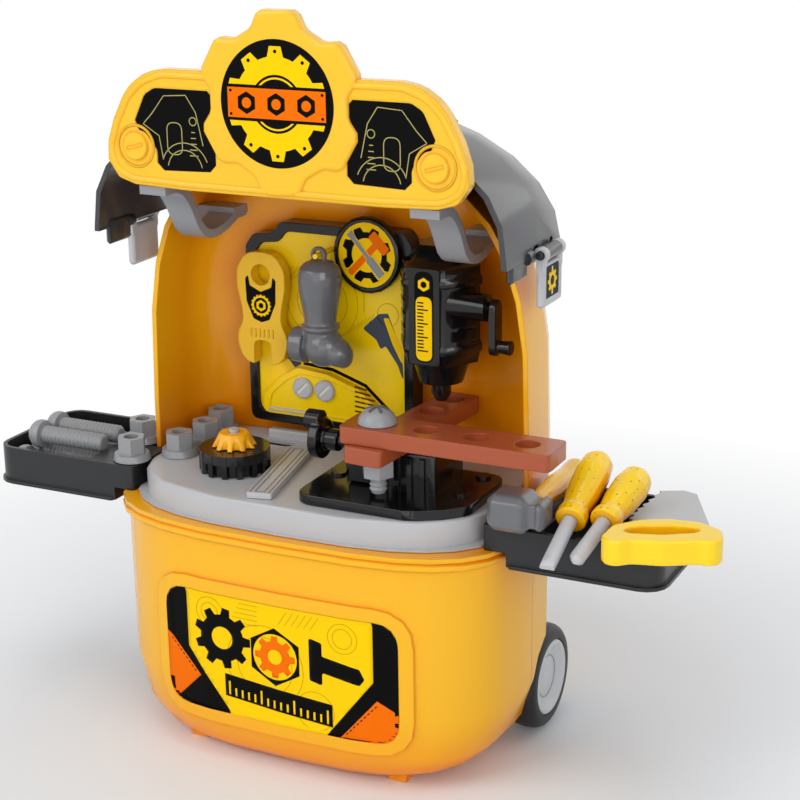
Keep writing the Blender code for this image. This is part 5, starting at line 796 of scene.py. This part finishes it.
def add_board_prints():
    place = facing_front(BOARD_FACE)
    groups = {"cog": ring(24, BOARD_LINE, (-30, 250), 64),
              "cog_inner": ring(17, BOARD_LINE, (-30, 250), 64),
              "hub": ring(6, BOARD_LINE, (-44, 228), 32),
              "hub_inner": ring(3.5, BOARD_LINE, (-44, 228), 32),
              "rule": [rectangle((-2, 246), (-1.6, 262))],
              "pin": ring(7, BOARD_LINE, (14, 246), 32)}
    for name, outlines in groups.items():
        prism("board_line_" + name, outlines, place, INK_LINE)
    hatch = hatching((-58, 262), (3, 0), (-52, 270), (3, 0), 6, BOARD_HATCH)
    hatch += hatching((-12, 232), (2.6, 1.5), (-8, 238), (2.6, 1.5), 6, BOARD_HATCH)
    prism("board_hatch", hatch, place, INK_LINE)
    spot = [rounded(rectangle((-62, 285), (-57, 289)), 0.5),
            rounded(rectangle((-61.6, 285.4), (-57.4, 288.6)), 0.4)]
    prism("board_spot", spot, place, INK_LINE)
    trowel = [(-3, 236), (8, 246), (14, 247), (23, 224), (24, 205), (20, 216), (12, 227), (9, 224),
              (6, 230)]
    prism("board_tool", [rounded(trowel, 1.5)], place, INK_SLATE)
    inset = [(11, 244), (14.5, 244), (23, 226), (24, 215), (17, 228)]
    prism("board_tool_inset", [rounded(inset, 1)], above(place, PRINT_RISE), INK_YELLOW)
    peg = [(-61, 217), (-56, 224), (-50, 216), (-45, 209), (-50, 206), (-54, 211), (-59, 212)]
    prism("board_nut", [rounded(peg, 1)], place, INK_SLATE)
    crest = [(x + 1.2, y + 1.6) for x, y in rack_outline(0, 1, 0, 1)[1:6]]
    prism("rack_shadow", [ribbon(crest, 2.2)], place, INK_BLACK)
    rack = facing_front(RACK_FACE)
    outer = rack_outline(0.045, 0.905, 0.07, 0.83)
    inner = rack_outline(0.06, 0.88, 0.1, 0.78)
    prism("rack_border", [rounded(outer, 4), rounded(inner, 4)], rack, BOARD_YELLOW, rise=0.5)
    vents = hatching((-6, 201), (0, -3.1), (2.2, 199.6), (2.6, -3.1), 6, 1.1)
    prism("rack_vents", vents, rack, INK_BROWN)
    prism("rack_sill", [rectangle((-66, 178.4), (-30, 181.2))], rack, SILVER, rise=0.4)
    for index, (across, up) in enumerate(SCREW_SPOTS):
        screw = facing_front(SCREW_FACE, across, up)
        slot, groove = moved(centred(5, 1), 45), moved(centred(4.9, 0.9), 45)
        prism("rack_screw_" + str(index), [circle(5.9, count=32), slot], screw, SILVER, rise=0.5)
        turned("rack_screw_rim_" + str(index), SCREW_RIM, screw, SILVER, sides=32)
        prism("rack_slot_" + str(index), [groove], screw, INK_WHITE, rise=0.15)


def add_wrench_print():
    place = facing_front(WRENCH_FACE, WRENCH_X)
    shield = [(-10.5, 262), (-8.5, 264.5), (-7.5, 258), (0, 254.5), (7.5, 258), (8.5, 264.5),
              (10.5, 262), (10, 248), (5.5, 237.5), (0, 235.5), (-5.5, 237.5), (-10, 248)]
    prism("wrench_shield", [rounded(shield, 1.5)], place, INK_BLACK, "spanner")
    layer = above(place, PRINT_RISE)
    prism("wrench_cog", [cog(16, 6.2, 6.9, WRENCH_COG), circle(4.9, WRENCH_COG)], layer, INK_YELLOW,
          "spanner")
    prism("wrench_nut", [hexagon(3.6, WRENCH_COG), circle(1.7, WRENCH_COG, 20)], layer, INK_YELLOW,
          "spanner")
    ridges = [rounded(rectangle((across - 0.55, 226), (across + 0.55, 231.5)), 0.5, 3)
              for across in (-7.5, -4.5, -1.5, 1.5, 4.5, 7.5)]
    prism("wrench_ridges", ridges, place, SPANNER_YELLOW, "spanner", 0.5)


def add_drill_details():
    panel = rounded(rectangle((-9.5, 230), (9.5, 286)), 2)
    prism("drill_panel", [panel], facing_front(DRILL_FACE, DRILL_X), BLACK, rise=DRILL_PANEL_RISE)
    face = facing_front(DRILL_FACE - DRILL_PANEL_RISE, DRILL_X)
    strip = rounded(rectangle((-5.8, 231.5), (5.8, 284.5)), 5.5, 8)
    prism("drill_strip", [strip], face, INK_BLACK)
    layer = above(face, PRINT_RISE)
    lower = rounded(rectangle((-5, 232.5), (5, 270)), 4.4, 8)
    prism("drill_strip_yellow", [lower], layer, INK_YELLOW)
    prism("drill_strip_nut", [hexagon(4, (0, 277)), circle(1.9, (0, 277), 20)], layer, INK_YELLOW)
    top = above(face, 2 * PRINT_RISE)
    ticks = [rectangle((-4, height), (2.6 if step % 4 == 0 else -0.2, height + 0.8))
             for step, height in enumerate(range(238, 267, 2))]
    prism("drill_strip_ticks", ticks, top, INK_BLACK)
    axis = Matrix.Translation((DRILL_X * MM, DRILL_Y * MM, 0))
    for side, word in SIDES:
        face = axis @ spin(DRILL_PAD_TURN * side, "Z") @ facing_front(DRILL_PAD_FACE)
        for step in range(PADS):
            low = PAD_LOW + step * PAD_GAP
            pad = rounded(rectangle((-PAD_HALF, low), (PAD_HALF, low + PAD_HEIGHT)), 1)
            prism("drill_pad_" + str(step) + "_" + word, [pad], face, BLACK, rise=PAD_RISE)


# Clasp inserts
CLASP_FACE_X, CLASP_CENTRE = 131.45, (8, 287.5)
CLASP_NEAR, CLASP_FAR, CLASP_LOW, CLASP_HIGH = -1.4, 17.4, 278.7, 296.2
CLASP_PLATE_RISE, CLASP_BARS, CLASP_BAR_HALF = 0.8, ((279.8, 281), (294, 295.2)), 0.8


def add_clasp_inserts():
    for side, word in SIDES:
        place = facing_side(side * CLASP_FACE_X, side)
        plate = [(side * CLASP_NEAR, CLASP_LOW), (side * CLASP_FAR, CLASP_LOW),
                 (side * CLASP_FAR, CLASP_HIGH), (side * CLASP_NEAR, CLASP_HIGH)]
        body = word + "_latch"
        prism("clasp_plate_" + word, [rounded(plate, 2)], place, INK_BLACK, body, CLASP_PLATE_RISE)
        layer = above(place, CLASP_PLATE_RISE)
        middle = side * CLASP_CENTRE[0]
        centre = (middle, CLASP_CENTRE[1])
        wheel = [cog(8, 5, 6.6, centre), circle(2.8, centre, 24)]
        prism("clasp_cog_" + word, wheel, layer, INK_YELLOW, body)
        bars = [rectangle((middle - CLASP_BAR_HALF, low), (middle + CLASP_BAR_HALF, high))
                for low, high in CLASP_BARS]
        prism("clasp_bars_" + word, bars, layer, INK_WHITE, body)


# Threads, wheels and other finer pieces
THREAD_PITCH = 2.7
# A turn of thread, as shares of the pitch after its start: flank, crest, flank, root
FLANK_SHARE, CREST_SHARE, FAR_FLANK_SHARE, ROOT_END_SHARE, CREST_EASE = 0.28, 0.42, 0.56, 0.84, 0.15
TIP_CHAMFER = 0.8
WHEEL_X, WHEEL_Y, WHEEL_Z = 111, 46, 32


def thread(start, end, root, crest):
    """Points down a threaded shaft whose heights run from start to end."""
    points = []
    way = -1 if end < start else 1
    step = way * THREAD_PITCH
    height = start
    while abs(height - start) + THREAD_PITCH <= abs(end - start):
        points += [(root, height), (crest - CREST_EASE, height + step * FLANK_SHARE),
                   (crest, height + step * CREST_SHARE),
                   (crest - CREST_EASE, height + step * FAR_FLANK_SHARE),
                   (root, height + step * ROOT_END_SHARE)]
        height += step
    return points + [(root, height), (root, end - way * TIP_CHAMFER), (root - TIP_CHAMFER, end),
                     (0, end)]


def add_threaded_bolts():
    for index in range(1, 7):
        node = "tray_bolt_" + str(index)
        low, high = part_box(node)
        length = (high[0] - low[0]) / MM
        centre = (low + high) / 2
        profile = [(0, 0), (2.2, 0.1), (4.6, 0.6), (6.8, 1.7), (8.3, 3.6), (8.9, 5.6), (8.9, 7.6),
                   (8.4, 9), (5.2, 9.2)]
        profile += thread(9.6, length, 4.8, 5.7)
        axes = Matrix(((0, 0, 1, 0), (0, 1, 0, 0), (-1, 0, 0, 0), (0, 0, 0, 1)))
        spot = Vector((low[0], centre[1], centre[2])) - ORIGIN
        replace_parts(turned(node + "_fine", profile, Matrix.Translation(spot) @ axes, FASTENER,
                           "left_bin", 32), node)
    low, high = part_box("plank_bolt")
    centre = (low + high) / 2 - ORIGIN
    top, bottom = high[2] / MM, low[2] / MM
    profile = [(0, top), (3, top - 0.3), (6.2, top - 1.5), (8.8, top - 3.7), (10.4, top - 6.4),
               (11, top - 9), (5, top - 9), (5, bottom + 12)]
    profile += thread(bottom + 12, bottom, 4.1, 5)
    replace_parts(turned("plank_bolt_fine", profile, Matrix.Translation((centre[0], centre[1], 0)),
                       FASTENER, "planks"), "plank_bolt")


HAMMER = (-20.8, 26.4)
HAMMER_HEAD_Z = 228
HAMMER_VOXEL = 0.55 * MM
# Lumps of the head and claw: centre from the middle of the head, radii, and turn about Y
HAMMER_LUMPS = (((2, 0, 0), (13, 11.6, 12.2), 0), ((10, 0, -2.2), (11, 9.4, 8.6), 28),
                ((14.5, 0, -5.4), (6, 6.6, 6.4), 0))
DRUM_X, DRUM_RADII, DRUM_LENGTH = -13.2, (10.6, 11.2), 9
LOOP_Z, LOOP_RADIUS, LOOP_BEADS, LOOP_BEAD = 55.6, 3.9, 14, 1.35
HAMMER_BULB_SHAPE = ((0, 53), (5, 52.6), (9, 51), (11.8, 48), (13, 43.5), (13.1, 39), (12.2, 31),
                     (10.6, 23), (9.6, 16), (9.8, 14.2), (11.4, 13.8), (11.8, 12.4), (11.4, 11),
                     (9.8, 10.4), (9.6, 0), (0, 0))


def lump(build, centre, radii, angle):
    """Rounded lump: a ball stretched to its three radii and turned about Y."""
    stretch = Matrix.Diagonal((*[radius * MM for radius in radii], 1))
    matrix = shift(*centre) @ spin(angle, "Y") @ stretch
    bmesh.ops.create_uvsphere(build, u_segments=32, v_segments=20, radius=1.0, matrix=matrix)


def add_hammer():
    """Hammer in one piece: bulb grip, collar, round head with a drum face, drooping claw."""
    x, y = HAMMER
    item = turned("claw_hammer_fine",
                  [(radius, HAMMER_HEAD_Z + up) for radius, up in HAMMER_BULB_SHAPE],
                  shift(x, y, 0), TOOL_GREY, "hammer", 40)
    build = bmesh.new()
    build.from_mesh(item.data)
    for (across, deep, up), radii, turn in HAMMER_LUMPS:
        lump(build, (across, deep, HAMMER_HEAD_Z + up), radii, turn)
    drum = shift(DRUM_X, 0, HAMMER_HEAD_Z) @ spin(90, "Y")
    bmesh.ops.create_cone(build, cap_ends=True, segments=40, radius1=DRUM_RADII[0] * MM,
                          radius2=DRUM_RADII[1] * MM, depth=DRUM_LENGTH * MM, matrix=drum)
    loop = shift(0, 0, HAMMER_HEAD_Z + LOOP_Z)
    for step in range(LOOP_BEADS):
        angle = 2 * math.pi * step / LOOP_BEADS
        spot = loop @ Vector((LOOP_RADIUS * MM * math.cos(angle), 0,
                              LOOP_RADIUS * MM * math.sin(angle)))
        place = Matrix.Translation(spot) @ Matrix.Diagonal((1, 1.8, 1, 1))
        bmesh.ops.create_uvsphere(build, u_segments=12, v_segments=8, radius=LOOP_BEAD * MM,
                                  matrix=place)
    build.to_mesh(item.data)
    build.free()
    round_off(item, HAMMER_VOXEL)
    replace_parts(item, "claw_hammer")


STAR_BARS, STAR_TURN, STAR_DEPTH, STAR_ARC = 3, 15, 0.8, (15.2, (0, -15.1), 64, 116, 14)


def add_bolt_slots():
    """Star-shaped slot of three crossing bars in the domed head of the plank bolt; the bars are
    darker grey, painted shade standing in for the cut slot.
    """
    low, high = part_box("plank_bolt")
    centre = (low + high) / 2 - ORIGIN
    bar = ribbon(arc(*STAR_ARC), 0.5)
    for index in range(STAR_BARS):
        turn = spin(180 * index / STAR_BARS + STAR_TURN, "Z")
        place = Matrix.Translation((centre[0], centre[1], high[2])) @ turn @ spin(90, "X")
        prism("plank_bolt_slot_" + str(index), [bar], above(place, -STAR_DEPTH), TOOL_GREY,
              "planks", 2 * STAR_DEPTH)


TYRE_SHAPE = ((24, 10), (26.5, 10), (28.6, 9.4), (30.4, 7.8), (31.5, 5.6), (31.9, 3), (32, 0),
              (31.9, -3), (31.5, -5.6), (30.4, -7.8), (28.4, -9.6), (26, -10), (3.4, -10),
              (3.4, -5), (23.3, -5), (23.3, 10), (24, 10))
HUB_SHAPE = ((0, 8), (6, 7.4), (11, 6.6), (15.5, 6.6), (17.6, 7.6), (19, 9.4), (20.2, 10.3),
             (21.8, 10.3), (22.6, 9.8), (23, 9), (23, -4.7), (3.4, -4.7), (3.4, 3), (0, 3))
HUB_LINE = ((12.2, 6.5), (12.5, 6.95), (13, 6.95), (13.3, 6.5), (12.2, 6.5))


def add_wheels():
    for side, word in SIDES:
        body = word + "_wheel"
        place = shift(side * WHEEL_X, WHEEL_Y, WHEEL_Z) @ spin(90 * side, "Y")
        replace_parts(turned(word + "_tyre_fine", TYRE_SHAPE, place, RUBBER, body, 72),
                    word + "_tyre")
        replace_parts(turned(word + "_hub_fine", HUB_SHAPE, place, HUB, body, 72),
                    word + "_wheel_hub")
        turned(word + "_hub_line", HUB_LINE, place, FASTENER, body, 72)


def add_ruler_lines():
    place = facing_up(-23.5, -22.5, 165.8, 101.7)
    prism("ruler_groove", [centred(38, 3), centred(37.5, 2.4)], place, ARM_GREY, "ruler", 0.25)
    prism("ruler_edges", [rectangle((-39, 5.2), (39, 6)), rectangle((-39, -6), (39, -5.2))], place,
          ARM_GREY, "ruler", 0.2)


# Studio
FLOOR_SIZE = 6.0
FLOOR_COLOUR, FLOOR_ROUGHNESS = (0.84, 0.87, 0.91, 1), 0.6
# Distance from the middle over which the floor fades to plain white, in metres
FADE_START, FADE_END = 0.22, 0.62
AIM = Vector((0, 0, 0.2))
WHITE = (1, 1, 1, 1)
WORLD_LIGHT = 0.38
# Name, place, size and power of each lamp
LIGHTS = (("key_light", (-0.9, -1.3, 1.3), 1.2, 12.5), ("fill_light", (1.2, -1.3, 0.7), 0.8, 7.5),
          ("top_light", (0.1, -0.2, 1.9), 1.1, 7), ("rim_light", (0.9, 1.3, 1.1), 1.4, 5),
          ("front_light", (0.2, -1.6, 0.25), 1.1, 4.5))


def background_rays(nodes, links):
    """1 for rays from the camera, off a glossy surface or through glass, 0 for the others."""
    path = nodes.new("ShaderNodeLightPath")
    total = path.outputs["Is Camera Ray"]
    for name in ("Is Glossy Ray", "Is Transmission Ray"):
        more = nodes.new("ShaderNodeMath")
        more.operation = "ADD"
        more.use_clamp = True
        links.new(total, more.inputs[0])
        links.new(path.outputs[name], more.inputs[1])
        total = more.outputs[0]
    return total


def backdrop_material():
    """Pale floor that keeps the shadow near the object and is plain white further out."""
    material = bpy.data.materials.new("floor_white")
    material.use_nodes = True
    nodes, links = material.node_tree.nodes, material.node_tree.links
    shader = nodes["Principled BSDF"]
    set_inputs(shader, {"Base Color": FLOOR_COLOUR, "Roughness": FLOOR_ROUGHNESS})
    place = nodes.new("ShaderNodeTexCoord")
    length = nodes.new("ShaderNodeVectorMath")
    length.operation = "LENGTH"
    links.new(place.outputs["Object"], length.inputs[0])
    far = ranged(nodes, links, length.outputs["Value"], FADE_START, FADE_END)
    seen = nodes.new("ShaderNodeMath")
    seen.operation = "MULTIPLY"
    links.new(far, seen.inputs[0])
    links.new(background_rays(nodes, links), seen.inputs[1])
    glow = nodes.new("ShaderNodeEmission")
    set_inputs(glow, {"Color": WHITE, "Strength": 1})
    mix = nodes.new("ShaderNodeMixShader")
    links.new(seen.outputs[0], mix.inputs[0])
    links.new(shader.outputs[0], mix.inputs[1])
    links.new(glow.outputs[0], mix.inputs[2])
    links.new(mix.outputs[0], nodes["Material Output"].inputs["Surface"])
    return material


def add_studio():
    build = bmesh.new()
    bmesh.ops.create_grid(build, x_segments=1, y_segments=1, size=FLOOR_SIZE)
    mesh = bpy.data.meshes.new("floor")
    build.to_mesh(mesh)
    build.free()
    floor = new_object("floor", mesh)
    mesh.materials.append(backdrop_material())
    for name, place, size, power in LIGHTS:
        data = bpy.data.lights.new(name, "AREA")
        data.size = size
        data.energy = power
        lamp = new_object(name, data)
        lamp.location = place
        aim = AIM - lamp.location
        lamp.rotation_euler = aim.to_track_quat("-Z", "Y").to_euler()
    world = bpy.data.worlds.new("studio")
    world.use_nodes = True
    nodes, links = world.node_tree.nodes, world.node_tree.links
    backdrop = nodes["Background"]
    set_inputs(backdrop, {"Color": WHITE, "Strength": WORLD_LIGHT})
    seen = nodes.new("ShaderNodeBackground")
    set_inputs(seen, {"Color": WHITE, "Strength": 1})
    mix = nodes.new("ShaderNodeMixShader")
    links.new(background_rays(nodes, links), mix.inputs[0])
    links.new(backdrop.outputs[0], mix.inputs[1])
    links.new(seen.outputs[0], mix.inputs[2])
    links.new(mix.outputs[0], nodes["World Output"].inputs["Surface"])
    bpy.context.scene.world = world
    bpy.context.scene.view_settings.view_transform = "Standard"


def main():
    add_camera()
    add_label()
    dress_nodes()
    add_sign_prints()
    add_sign_border()
    add_hammer()
    add_bolt_slots()
    add_badge_print()
    add_board_prints()
    add_wrench_print()
    add_drill_details()
    add_clasp_inserts()
    add_threaded_bolts()
    add_wheels()
    add_ruler_lines()
    add_studio()


main()
